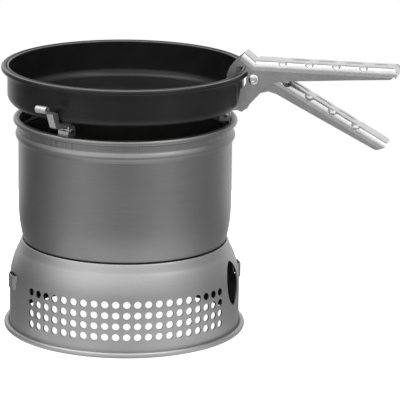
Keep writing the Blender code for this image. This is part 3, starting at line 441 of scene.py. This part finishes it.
SHELL = spun_metal("spun_shell", (0.42, 0.42, 0.422), 0.40)
SHIELD = spun_metal("spun_shield", (0.285, 0.285, 0.287), 0.36, STREAKS)
BRIGHT = pressed_metal("bright_pressed", (0.66, 0.66, 0.665), 0.32)
# The levers' side plates: the same pressed metal as their folded tops, made darker as painted shade
SHADED_CHEEK = pressed_metal("painted_shade_cheek", (0.41, 0.41, 0.413), 0.42, 1300.0)
ARM = pressed_metal("bright_arm", (0.66, 0.66, 0.66), 0.42)
STEEL = pressed_metal("rivet_steel", (0.74, 0.74, 0.73), 0.27, 1500.0)
COAT = coating("nonstick")
BRASS = brass("burner_brass", (0.62, 0.43, 0.17), 0.3)
CROWN = brass("crown_brass", (0.56, 0.38, 0.15), 0.36)
FELT = felt("wick_felt")


# Lower windshield

def base_shell():
    """The perforated lower windshield: seat, recess, lip, shoulder, wall, rolled foot and strap bridges."""
    steps = 40
    turn = [math.radians(SHOULDER_TURN) * (steps - i) / steps for i in range(steps + 1)]
    shoulder = [(BASE_R - SHOULDER_IN * (1 - math.cos(t)), SHOULDER_Z + SHOULDER_UP * math.sin(t))
                for t in turn]
    wall = [(BASE_R, z) for z in (28.0, 20.0, 12.0, 5.2)]
    foot = [(BASE_R + 0.12, 4.2)] + arc(BASE_R + FOOT_ROLL_R, FOOT_ROLL_R, FOOT_ROLL_R, 152, -90, 18)
    foot += [(88.8, 0.0), (87.3, 1.2), (BASE_R - WALL_T, 2.4)]
    top = fillet([(SEAT_HOLE_R, SEAT_Z), (43.0, SEAT_Z), (61.0, RECESS_Z), (LIP_R - LIP_HALF, RECESS_Z)], 3.0)
    lip = arc(LIP_R, 68.0, LIP_HALF, 180, 35, 8) + [(79.15, 67.6), (79.7, 66.2), (80.45, 64.2)]
    inner = [p for p in offset([(BASE_R, 4.4)] + shoulder[::-1], -WALL_T) if p[0] > 78.8]
    under_r, recess_low, seat_low = LIP_R + 0.2, RECESS_Z - WALL_T, SEAT_Z - WALL_T
    under = fillet([(under_r, inner[-1][1]), (under_r, recess_low), (61.0, recess_low), (43.0, seat_low),
                    (SEAT_HOLE_R, seat_low)], 1.5)
    profile = top + lip + shoulder + wall + foot + inner + under
    vents = []
    for column in range(VENT_COLUMNS):
        angle = VENT_ANGLE + (column - VENT_COLUMNS // 2) * VENT_TURN
        for row in range(VENT_ROWS):
            spot = place(angle, BASE_R - 0.6, VENT_TOP - row * VENT_DROP)
            vents.append(rod(spot @ Matrix.Rotation(math.pi / 2, 4, "Y"), VENT_R, 9.0, 24))
    outline = []
    points = 72
    for i in range(points):
        t = math.tau * i / points
        outline.append((WINDOW_HALF_W * math.copysign(abs(math.cos(t)) ** WINDOW_POINT, math.cos(t)),
                        WINDOW_Z + WINDOW_HALF_H * math.sin(t)))
    window = moved(slab(outline, -95.0, -79.6), place(WINDOW_ANGLE + 90.0))
    root, rise = BASE_R - WALL_T, BRIDGE_R - 0.6
    outer = fillet([(root, -BRIDGE_HALF - 0.3), (rise, -BRIDGE_HALF + 2.9), (BRIDGE_R, -BRIDGE_HALF / 2),
                    (BRIDGE_R, BRIDGE_HALF / 2), (rise, BRIDGE_HALF - 2.9), (root, BRIDGE_HALF + 0.3)],
                   3.5, 6)
    strip = outer + offset(outer, -WALL_T)[::-1]
    slot = [(78.0, -7.2), (91.0, -7.2), (91.0, 7.2), (78.0, 7.2)]
    bridges, slots = [], []
    for angle in BRIDGES:
        bridges.append(moved(slab(strip, BRIDGE_LOW, BRIDGE_HIGH, upright=False), place(angle)))
        slots.append(moved(slab(slot, BRIDGE_LOW - 0.25, BRIDGE_HIGH + 0.25, upright=False), place(angle)))
    air = [rod(place(360.0 / AIR_HOLES * i, AIR_RING_R, 62.0), AIR_HOLE_R, 30.0, 32)
           for i in range(AIR_HOLES)]
    cuts = [("DIFFERENCE", tool) for tool in (merged(*vents), window, merged(*slots), merged(*air))]
    piece("base_skin", lathe(profile, ROUND), "base", SHELL, ["base_shell"], angle=30,
          cuts=cuts)
    piece("base_bridges", merged(*bridges), "base", SHELL, angle=40, bevel=0.25)


# Upper windshield

def windshield():
    """The upper windshield with its bead and rolled rim."""
    path = [(NECK_R, 160.2), (NECK_R, 154.8)]
    steps = 24
    for i in range(steps + 1):
        share = i / steps
        path.append((NECK_R - (NECK_R - SHIELD_R) * share + BEAD_OUT * math.sin(math.pi * share) ** 1.15,
                     BEAD_TOP - BEAD_H * share))
    straight = [(SHIELD_R, z) for z in (140.0, 128.0, 116.0, 104.0)]
    below = straight + arc(SHIELD_R - 105.0, 96.0, 105.0, 0, -13.4, 16)
    below += arc(70.36, 73.5, 8.0, -13.4, -90, 14)[1:] + [(65.96, 65.5)]
    # The inner face passes behind the bead with a shallower one
    plain = [(NECK_R, 160.2), (NECK_R, 153.2), (81.35, 152.5), (82.4, 151.9), (82.7, 151.1), (82.3, 150.3),
             (81.1, 149.6), (SHIELD_R, 148.2)]
    inner = offset(plain + below, WALL_T)[::-1]
    roll = arc(RIM_R, RIM_Z, RIM_ROLL_R, 168, -112, 28)
    piece("windshield_skin", lathe(roll + path + below + inner, ROUND), "windshield", SHIELD,
          ["windshield_shell"], angle=30)


# Frying pan

def pan():
    """The coated frying pan with a rolled rim."""
    corner_r, corner_z = PAN_R - PAN_CORNER_R, PAN_Z + PAN_CORNER_R
    inside, floor = PAN_R - PAN_T, PAN_Z + PAN_T
    profile = [(0.0, floor), (40.0, floor)] + arc(corner_r, corner_z, PAN_CORNER_R - PAN_T, -90, 0, 16)
    profile += [(inside, 188.0), (inside, 196.0), (inside, 201.4)]
    profile += arc(88.9, 202.5, 0.9, 180, 20, 8) + [(90.0, 202.25)]
    profile += arc(91.7, 201.4, 2.2, 125, -160, 26)
    profile += [(PAN_R, 200.1), (PAN_R, 194.0), (PAN_R, 188.0)]
    profile += arc(corner_r, corner_z, PAN_CORNER_R, 0, -90, 18)
    profile += [(40.0, PAN_Z), (0.0, PAN_Z)]
    piece("pan_skin", lathe(profile, ROUND, closed=False), "pan", COAT, ["frying_pan"],
          angle=40)


# Pot supports

def support(index, angle):
    """One support with its bracket and hinge pin."""
    here = place(angle, HINGE_R, HINGE_Z)
    body, name = f"support_{index}", f"bracket_{index}"
    seat, root, half = 6.7, 3.7, 2.8
    foot_in, top_in, top_out = (12.43, seat), (14.33, 15.9), (20.83, 15.9)
    foot_out, under, under_in = (16.43, 4.8), (13.63, 3.3), (root, 2.9)
    eye = arc(0, 0, 2.3, 30, -190, 28)
    side = fillet([(-1.4, seat), foot_in, top_in, top_out, foot_out, under, under_in], 0.8)[1:]
    side = [(-1.5, seat)] + side + eye
    cheeks = merged(slab(side, half - 1.0, half), slab(side, -half, 1.0 - half))
    back = fillet([top_out, foot_out, under, under_in], 1.2, 6)
    web = moved(slab(sheet(back, 1.2), -2.7, 2.7), here)
    inner = moved(slab([(-1.5, seat), (2.0, seat), (2.0, seat - 1.2), (-1.5, seat - 1.2)], -1.9, 1.9), here)
    bore = moved(rod(across(), HINGE_BORE, 20.0, 24), here)
    curl = arc(29.63, 20.7, 2.75, -88, 215, 36)
    wrap = fillet([(19.2, 15.8), (20.9, 16.0), curl[0]], 1.0)[:-1] + curl
    piece(f"{body}_arm", moved(cheeks, here), body, ARM, [f"pan_support_{index}"],
          bevel=0.3, cuts=[("UNION", web), ("UNION", inner), ("DIFFERENCE", bore)])
    lip = slab(sheet(wrap, -1.15), -4.6, 4.6)
    piece(f"{body}_curl", moved(lip, here), body, ARM, angle=40, bevel=0.15)
    plate = fillet([(root - BRACKET_T, -19.2), (root - BRACKET_T, -0.4), (root - 0.5, 0.0), (root, -0.4),
                    (root, -19.2)], 0.4)
    ear = [(-4.9, -5.0), (-4.9, 0.0)] + arc(-1.3, 0.0, 3.6, 180, 90, 12)[1:] + [(3.1, 3.6), (3.1, -5.0)]
    ears = moved(merged(slab(ear, 3.5, 4.6), slab(ear, -4.6, -3.5)), here)
    bore = moved(rod(across(), HINGE_BORE, 30.0, 24), here)
    piece(name, moved(slab(plate, -4.6, 4.6), here), "windshield", ARM,
          [f"support_{name}"], bevel=0.3, cuts=[("UNION", ears), ("DIFFERENCE", bore)])
    heads = [rod(across(y=y), 2.0, 0.5, 24, 0.25) for y in (5.2, -5.2)]
    pin = merged(rod(across(), HINGE_PIN_R, 10.0, 24), *heads)
    piece(f"hinge_pin_{index}", moved(pin, here), "windshield", STEEL,
          [f"support_hinge_pin_{index}"])


# Gripper handle

DENT_LEANS = ((-1, 40.0), (1, 31.0))
DENT_STAND = 1.1


def around_pivot(*points):
    """Points given from the gripper's pivot."""
    return [(PIVOT[0] + x, PIVOT[1] + z) for x, z in points]


def dent_balls(points, down, half, fold):
    """Centres of the balls that press round dents into both folds of a lever."""
    reach = fold + DENT_STAND
    balls = []
    for point in points:
        for side, degrees in DENT_LEANS:
            lean = math.radians(degrees)
            spot = point + down * (fold - reach * math.cos(lean))
            balls.append((spot[0], side * (half - fold + reach * math.sin(lean)), spot[1]))
    return balls


def dented(points, balls):
    """The points, pushed out of the balls."""
    p = np.array(points)
    soften = 0.18
    for ball in balls:
        d = p - np.array(ball)
        length = np.linalg.norm(d, axis=1)
        push = np.clip(DENT_R - length, 0, None)
        soft = push * push / (push + soften)
        p += d / np.maximum(length, 1e-6)[:, None] * soft[:, None]
    return p


def lever_strip(name, start, direction, down, length, half, fold, depth, ends, balls, ovals, body,
                behind=None):
    """A lever's folded top, from a point on its middle line along a direction, and another one behind it."""
    flat = half - fold
    section = [(-half, fold + d) for d in np.linspace(depth, 0.0, max(3, int(depth / 0.4) + 1))[:-1]]
    for a in np.radians(np.linspace(0, 90, 17)):
        section.append((-half + fold * (1 - math.cos(a)), fold * (1 - math.sin(a))))
    section += [(y, 0.0) for y in np.linspace(-flat, flat, 26)[1:-1]]
    section += [(-y, d) for y, d in section if y <= -flat + 1e-9][::-1]
    steps = int(length / 0.45)
    verts = []
    for i in range(steps + 1):
        for y, d in section:
            low, high = ends(d)
            s = low + (high - low) * i / steps
            base = start + (behind if s < 0 else direction) * s
            verts.append((base[0] + down[0] * d, y, base[1] + down[1] * d))
    verts = dented(verts, balls)
    sink, rim = 0.45, 0.28
    for middle, semi, wide in ovals:
        centre = start + direction * middle
        along = (verts[:, 0] - centre[0]) * direction[0] + (verts[:, 2] - centre[1]) * direction[1]
        e = np.sqrt((along / semi) ** 2 + (verts[:, 1] / wide) ** 2)
        k = np.clip((e - 1 + rim) / rim, 0, 1)
        deep = sink * (1 - k ** 2 * (3 - 2 * k)) * (e < 1)
        verts[:, 0] += down[0] * deep
        verts[:, 2] += down[1] * deep
    n = len(section)
    faces = [(i * n + k, i * n + k + 1, (i + 1) * n + k + 1, (i + 1) * n + k)
             for i in range(steps) for k in range(n - 1)]
    mesh = to_mesh(name, ([tuple(v) for v in verts], faces))
    # Solidify needs the web's normals to point out of the channel
    middle = mesh.polygons[len(mesh.polygons) // 2]
    if middle.normal.x * down[0] + middle.normal.z * down[1] > 0:
        mesh.flip_normals()
    piece(name, mesh, body, BRIGHT, angle=50, thick=LEVER_T)


def plates(shape, half):
    """A lever's two side plates."""
    return merged(slab(shape, -half, LEVER_T - half), slab(shape, half - LEVER_T, half))


def upper_lever():
    """The upper lever: its folded top, the stop at its end, and its side plates with the outer jaw."""
    px = PIVOT[0]
    top, end, half, fold, depth = GRIP_TOP, GRIP_END, UPPER_HALF, 4.8, 2.2
    slant, slant_z = 1.8, 208.0

    def ends(d):
        """Where the folded top starts and ends, at a depth below its middle."""
        return 101.7, 204.5 + min(d, 2.5) - max(0.0, d - 5.5) * slant

    down = np.array((0.0, -1.0))
    balls = dent_balls([np.array((s, top)) for s in (121.8, 141.9, 162.0, 182.3)], down, half, fold)
    ovals = [(133.7, 8.0, 3.9), (153.8, 8.0, 3.9), (174.0, 8.0, 3.9), (194.5, 6.5, 3.9)]
    lever_strip("grip_upper_top", np.array((0.0, top)), np.array((1.0, 0.0)), down, 105.3, half, fold, depth,
                ends, balls, ovals, "pan")
    low = top - fold - depth
    foot = low - 0.4
    stop = slab(sheet([(204.2, top - 0.2), (206.9, top - 2.9), (206.9, foot)], 1.0), -8.3, 8.3)
    wing = half - 0.9
    wings = [(-wing, foot), (-wing, top - 4.6), (1.0 - wing, top - 3.2), (wing - 1.0, top - 3.2),
             (wing, top - 4.6), (wing, foot)]
    wings = moved(slab(wings, -206.8, -205.95), Matrix.Rotation(math.pi / 2, 4, "Z"))
    piece("grip_upper_end", stop, "pan", BRIGHT, cuts=[("UNION", wings)])
    cheek = [(89.9, 175.0), (88.9, 176.8), (88.9, 177.8), (90.5, 192.7)]
    cheek += around_pivot((-7.3, -5.7), (-5.9, -3.0), (-5.7, 0.9), (-4.5, 3.9))
    cheek += [(px + 1.6, low), (end - (slant_z - low) * slant, low), (202.5, 205.5)]
    cheek += around_pivot((70.3, 3.5), (33.8, 0.7), (19.1, -0.5), (15.7, -1.7), (8.4, -6.5)) + [(92.3, 175.0)]
    piece("grip_upper_cheeks", plates(fillet(cheek, 1.6, 6, closed=True), half), "pan", SHADED_CHEEK,
          ["grip_upper_lever"], bevel=0.3)


def lower_lever():
    """The lower lever: its folded top, and its side plates with the hook that reaches into the pan."""
    px, pz = PIVOT
    half, fold, depth = LOWER_HALF, 4.0, 2.0
    root, bend, tail = [np.array(p) for p in around_pivot((-8.0, 19.4), (0.7, 12.6), (100.5, -43.1))]
    length = float(np.linalg.norm(tail - bend))
    back = float(np.linalg.norm(root - bend))
    along = (tail - bend) / length
    down = np.array((along[1], -along[0]))

    def ends(d):
        """Where the folded top starts and ends, at a depth below its middle."""
        return -back, length + 0.14 * min(d, 3.3) - 0.84 * max(0.0, d - 3.3)

    spots = [np.array(p) for p in ((124.4, 197.0), (141.9, 188.2), (159.7, 178.7), (177.2, 168.2))]
    balls = dent_balls([bend + along * float((spot - bend) @ along) for spot in spots], down, half, fold)
    ovals = [(38.0, 8.0, 3.6), (58.0, 8.0, 3.6), (78.0, 8.0, 3.6)]
    lever_strip("grip_lower_top", bend, along, down, length + back, half, fold, depth, ends, balls, ovals,
                "grip_lever", (bend - root) / back)
    lip = offset([tuple(root), tuple(bend), tuple(tail)], fold + depth)[:2] + around_pivot((96.0, -47.45))
    turn, wall = math.radians(-12.0), 87.11
    face = []
    for z in (196.6 - pz, 184.9 - pz):
        s = wall - px
        face += around_pivot((s * math.cos(turn) - z * math.sin(turn),
                              s * math.sin(turn) + z * math.cos(turn)))
    tip_s, tip_z = face[1]
    hook = [(tip_s - 4.8, tip_z + 0.3), (tip_s - 4.8, pz - 1.0)]
    hook += around_pivot((-20.7, 3.0), (-18.4, 8.4), (-15.0, 13.0), (-10.2, 17.1), (-8.0, 19.0))
    belly = around_pivot((94.3, -48.1), (91.9, -48.1), (34.2, -19.1), (17.1, -10.3), (8.2, -7.9), (3.0, -6.8),
                         (-3.0, -4.2), (-5.0, -1.0), (-5.0, 3.0), (-4.4, 7.2), (-6.6, 9.0), (-14.5, 9.0))
    shape = fillet(hook, 3.0, 6) + lip + fillet([lip[-1]] + belly + face, 1.4, 6)[1:]
    piece("grip_lower_cheeks", plates(shape, half), "grip_lever", SHADED_CHEEK,
          ["grip_lower_lever"], bevel=0.2)


def grip_pin():
    """The gripper's rivet, with a dimple in each domed head."""
    px, pz = PIVOT
    head_r, head_h = 3.9, 1.25
    dome = [(0.0, 0.55), (0.5, 0.6), (0.75, 1.05)]
    dome += [(head_r * math.sin(math.radians(a)), 0.15 + head_h * math.cos(math.radians(a)))
             for a in range(16, 91, 6)]
    dome += [(head_r, 0.0), (0.0, 0.0)]
    heads = []
    for side in (-1.0, 1.0):
        spot = Matrix.Translation((px, side * (UPPER_HALF + 0.3), pz))
        spot = spot @ Matrix.Rotation(-side * math.pi / 2, 4, "X")
        heads.append(moved(lathe(dome, 48, closed=False), spot))
    shank = rod(across(px, 0.0, pz), 2.1, 2 * UPPER_HALF + 0.8, 32)
    piece("grip_pin", merged(shank, *heads), "pan", STEEL, ["grip_rivet"])


# Spirit burner and simmer ring

SMALL_ROUND = 128
RIBS, RIB_TOP, RIB_PITCH = 5, 73.2, 2.0
JETS, JET_RING_R, JET_R = 24, 30.4, 0.8


def burner():
    """The brass burner: cup, crown with its jets, and wick."""
    cup = [(0.0, 34.2), (28.0, 34.2)] + arc(28.1, 38.2, 4.0, -90, 0, 8) + [(32.1, 60.3)]
    cup += fillet([(32.1, 60.3), (33.7, 62.3), (33.7, 74.3)], 1.0)[1:]
    cup += [(34.6, 74.3), (34.6, 73.9)]
    for i in range(RIBS):
        z = RIB_TOP - i * RIB_PITCH
        cup += [(34.6, z), (35.1, z - 0.5), (34.6, z - 1.0)]
    cup += [(34.6, 62.3)] + fillet([(35.4, 62.3), (37.0, 62.3), (37.0, 60.3), (33.0, 60.3)], 0.6)
    cup += arc(29.0, 37.3, 4.0, 0, -90, 8) + [(0.0, 33.3)]
    piece("burner_body", lathe(cup, SMALL_ROUND, closed=False), "burner", BRASS,
          ["burner_cup"], angle=30)
    path = [(24.0, 34.5)] + arc(27.0, 74.3, 3.0, 180, 90, 8) + arc(30.4, 74.3, 3.0, 90, 0, 8) + [(33.4, 68.3)]
    spots = []
    for i in range(JETS):
        t = math.tau * (i + 0.5) / JETS
        spots.append(Matrix.Translation((JET_RING_R * math.cos(t), JET_RING_R * math.sin(t), 77.3)))
    jets = merged(*[rod(spot, JET_R, 5.0, 12) for spot in spots])
    piece("burner_crown", lathe(sheet(path, 0.8), SMALL_ROUND), "burner", CROWN,
          ["burner_jet_ring"], cuts=[("DIFFERENCE", jets)])
    wick = fillet([(25.1, 60.0), (31.8, 60.0), (31.8, 37.3), (25.1, 37.3)], 0.9, 4, closed=True)
    piece("burner_felt", lathe(wick, 96), "burner", FELT, ["burner_wick"], angle=60)


def simmer():
    """The simmer ring with its flap and folding handle."""
    spot, other = place(SIMMER_ANGLE), place(SIMMER_ANGLE + 180.0)
    path = [(20.0, 78.6)] + arc(34.1, 76.6, 2.0, 90, 0, 8) + [(36.1, 69.6)]
    ear = [(33.0, -EAR_SPAN)] + arc(EAR_R, 0, EAR_SPAN, -90, 90, 16) + [(33.0, EAR_SPAN)]
    lug = [(33.0, -5.5), (43.0, -5.5), (43.0, 5.5), (33.0, 5.5)]
    cheek = [(38.2, 77.7)] + arc(EAR_R, HANDLE_Z, 2.4, 180, 0, 16) + [(43.0, 77.7)]
    extras = merged(moved(slab(ear, 77.65, 78.58, upright=False), spot),
                    moved(slab(lug, 77.65, 78.58, upright=False), other),
                    moved(slab(cheek, 4.3, 5.5), other), moved(slab(cheek, -5.5, -4.3), other))
    eye = moved(rod(across(EAR_R, 0.0, HANDLE_Z), HANDLE_BORE, 20.0, 24), other)
    piece("simmer_body", lathe(sheet(path, 1.0), SMALL_ROUND), "simmer", BRASS,
          ["simmer_ring"])
    piece("simmer_lugs", extras, "simmer", BRASS, bevel=0.15, cuts=[("DIFFERENCE", eye)])
    flap_r, neck_half = 22.5, 3.6
    neck = math.degrees(math.asin(neck_half / flap_r))
    flap = arc(0, 0, flap_r, neck, 360 - neck, 64) + arc(EAR_R, 0, neck_half, -90, 90, 16)
    piece("simmer_cover", moved(slab(flap, 78.9, 79.7, upright=False), spot), "flap", BRASS,
          ["simmer_flap"], bevel=0.15)
    rivet = rod(Matrix.Translation((EAR_R, 0.0, 78.7)), 1.4, 2.6, 24)
    heads = [rod(Matrix.Translation((EAR_R, 0.0, z)), 2.6, 0.5, 24, 0.3) for z in (77.0, 80.3)]
    piece("simmer_rivet", moved(merged(rivet, *heads), spot), "simmer", STEEL,
          ["simmer_flap_rivet"])
    blade = [(6.6, 81.1), (6.6, 82.1), (38.6, 82.1)]
    blade += arc(EAR_R, HANDLE_Z, 2.0, 165, -165, 28) + [(38.6, 81.1)]
    hole = moved(rod(Matrix.Translation((10.6, 0.0, HANDLE_Z)), 1.8, 8.0, 24), other)
    piece("simmer_blade", moved(slab(blade, -4.0, 4.0), other), "simmer_handle", STEEL,
          ["simmer_handle"], bevel=0.12, cuts=[("DIFFERENCE", hole), ("DIFFERENCE", eye)])
    piece("simmer_pin", moved(rod(across(EAR_R, 0.0, HANDLE_Z), 1.0, 11.0, 24), other), "simmer", STEEL,
          ["simmer_handle_pin"])


base_shell()
windshield()
pan()
for number, degrees in enumerate(SUPPORTS):
    support(number + 1, degrees)
upper_lever()
lower_lever()
grip_pin()
burner()
simmer()


# Camera, at the photograph's angle

def camera():
    """A long lens in front of the cooker, a little above it. Gives the direction back to the camera."""
    azimuth, elevation, roll = math.radians(12.0), math.radians(14.72), math.radians(0.75)
    aside, height, distance = 0.05715, 0.09843, 2.2194
    level = math.cos(elevation)
    back = Vector((math.sin(azimuth) * level, -math.cos(azimuth) * level, math.sin(elevation)))
    aim = Vector((AX + aside * math.cos(azimuth), AY + aside * math.sin(azimuth), height))
    right = Vector((math.cos(azimuth), math.sin(azimuth), 0.0))
    up = back.cross(right)
    x = right * math.cos(roll) + up * math.sin(roll)
    y = up * math.cos(roll) - right * math.sin(roll)
    data = bpy.data.cameras.new("camera")
    data.lens = 262.0
    data.sensor_width = 36.0
    data.clip_end = 20.0
    thing = bpy.data.objects.new("camera", data)
    spot = aim + back * distance
    thing.matrix_world = Matrix(((x.x, y.x, back.x, spot.x), (x.y, y.y, back.y, spot.y),
                                 (x.z, y.z, back.z, spot.z), (0, 0, 0, 1)))
    bpy.context.scene.collection.objects.link(thing)
    bpy.context.scene.camera = thing
    return back


# The room that the metal mirrors, as degrees from the camera, more to its right, and the brightness there

LOW_ROOM = ((-180, 1.0), (-152, 1.0), (-128, 0.22), (-100, 0.20), (-72, 0.46), (-45, 0.74), (-22, 0.52),
            (0, 0.42), (24, 0.54), (44, 0.74), (68, 0.48), (92, 0.36), (118, 0.42), (150, 1.0), (180, 1.0))
MIDDLE_ROOM = ((-180, 1.0), (-150, 1.0), (-125, 0.26), (-95, 0.45), (-60, 1.25), (-42, 1.45), (-15, 1.15),
               (0, 1.08), (20, 1.12), (42, 1.15), (65, 0.80), (95, 0.52), (125, 0.5), (152, 1.0), (180, 1.0))
FLOOR_NEAR = ((-180, 0.7), (-140, 0.5), (-115, 0.25), (-80, 0.32), (-50, 0.85), (-20, 0.98), (0, 0.90),
              (30, 1.05), (55, 0.85), (90, 0.42), (125, 0.4), (150, 0.7), (180, 0.7))
FLOOR_R, FLOOR_Z = 0.42, -0.0002
FLOOR_WHITE = 0.95


def studio(back):
    """A white floor and background, a soft light and a bright strip overhead, and a darker room around."""
    flat = Vector((-back.x, -back.y, 0.0)).normalized()
    ways = (tuple(-flat), (flat.y, -flat.x, 0.0))

    def parts(graph, vector):
        """How far a direction leans towards the camera, and to its right."""
        found = []
        for way in ways:
            product = graph.add("ShaderNodeVectorMath", {0: vector, 1: way}, operation="DOT_PRODUCT")
            found.append(product.outputs["Value"])
        return found

    def bearing(graph, vector):
        """0.5 towards the camera, more to its right, 0 and 1 away from it."""
        ahead, right = parts(graph, vector)
        return graph.math("ADD", graph.math("DIVIDE", graph.math("ARCTAN2", right, ahead), math.tau), 0.5)

    def table(graph, around, levels):
        """Brightness by bearing."""
        ramp = graph.add("ShaderNodeValToRGB", {"Fac": around})
        ramp.color_ramp.interpolation = "EASE"
        for i, (degrees, level) in enumerate(levels):
            position = 0.5 + degrees / 360.0
            stop = ramp.color_ramp.elements[i] if i < 2 else ramp.color_ramp.elements.new(position)
            stop.position = position
            stop.color = (level, level, level, 1.0)
        return ramp.outputs[0]

    scene = bpy.context.scene
    scene.view_settings.view_transform = "Standard"
    scene.world = bpy.data.worlds.new("studio")
    scene.world.use_nodes = True
    sky = Graph(scene.world.node_tree)
    sky.tree.nodes.clear()
    direction = sky.add("ShaderNodeTexCoord").outputs["Generated"]
    height = sky.add("ShaderNodeSeparateXYZ", {0: direction}).outputs[2]
    around = bearing(sky, direction)
    walls = sky.blend(sky.ramp(height, 0.0, 0.3, 0.0, 1.0), table(sky, around, LOW_ROOM),
                      table(sky, around, MIDDLE_ROOM))
    ahead, right = parts(sky, direction)
    soft = sky.math("MULTIPLY", sky.ramp(ahead, -0.45, 0.05, 0.35, 1.0), sky.ramp(right, -0.7, 0.5, 1.4, 1.1))
    bend = sky.math("MULTIPLY", sky.math("MAXIMUM", sky.math("SUBTRACT", right, 0.1), 0.0), 0.8)
    off_strip = sky.math("ABSOLUTE", sky.math("SUBTRACT", ahead, bend))
    strip = sky.math("MULTIPLY", sky.ramp(off_strip, 0.05, 0.28, 2.6, 0.0),
                     sky.ramp(sky.math("ABSOLUTE", right), 0.55, 0.80, 1.0, 0.0))
    room = sky.blend(sky.ramp(height, 0.5, 0.68, 0.0, 1.0), walls, sky.math("ADD", soft, strip))
    seen = sky.add("ShaderNodeLightPath").outputs["Is Camera Ray"]
    shine = sky.add("ShaderNodeBackground", {"Color": WHITE, "Strength": sky.blend(seen, room, 1.0)})
    sky.add("ShaderNodeOutputWorld", {"Surface": shine.outputs[0]})

    disc = bmesh.new()
    bmesh.ops.create_circle(disc, cap_ends=True, segments=96, radius=FLOOR_R)
    mesh = bpy.data.meshes.new("floor")
    disc.to_mesh(mesh)
    disc.free()
    floor = bpy.data.objects.new("floor", mesh)
    floor.location = (AX, AY, FLOOR_Z)
    scene.collection.objects.link(floor)
    m = Surface("floor_white")
    m.set(Base_Color=(0.9, 0.9, 0.9, 1.0), Roughness=0.9, Specular_IOR_Level=0.1)
    spot = m.add("ShaderNodeTexCoord").outputs["Object"]
    reach = m.add("ShaderNodeVectorMath", {0: spot}, operation="LENGTH").outputs["Value"]
    around = bearing(m, spot)
    gloss = m.blend(m.ramp(reach, 0.17, 0.38, 0.0, 1.0), table(m, around, FLOOR_NEAR),
                    table(m, around, LOW_ROOM))
    # Under the cooker the floor's mirrored glow fades to nothing: a painted shadow in reflections
    gloss = m.math("MULTIPLY", gloss, m.ramp(reach, 0.084, 0.096, 0.0, 1.0))
    rays = m.add("ShaderNodeLightPath").outputs
    mirrored = m.add("ShaderNodeEmission", {"Color": WHITE, "Strength": gloss})
    glow = m.add("ShaderNodeEmission", {"Color": WHITE,
                                        "Strength": m.math("MULTIPLY", rays["Is Camera Ray"], FLOOR_WHITE)})
    both = m.add("ShaderNodeAddShader", {0: m.shader.outputs[0], 1: glow.outputs[0]})
    final = m.add("ShaderNodeMixShader", {0: rays["Is Glossy Ray"], 1: both.outputs[0],
                                          2: mirrored.outputs[0]})
    m.tree.links.new(final.outputs[0], m.tree.nodes["Material Output"].inputs["Surface"])
    mesh.materials.append(m.material)


studio(camera())
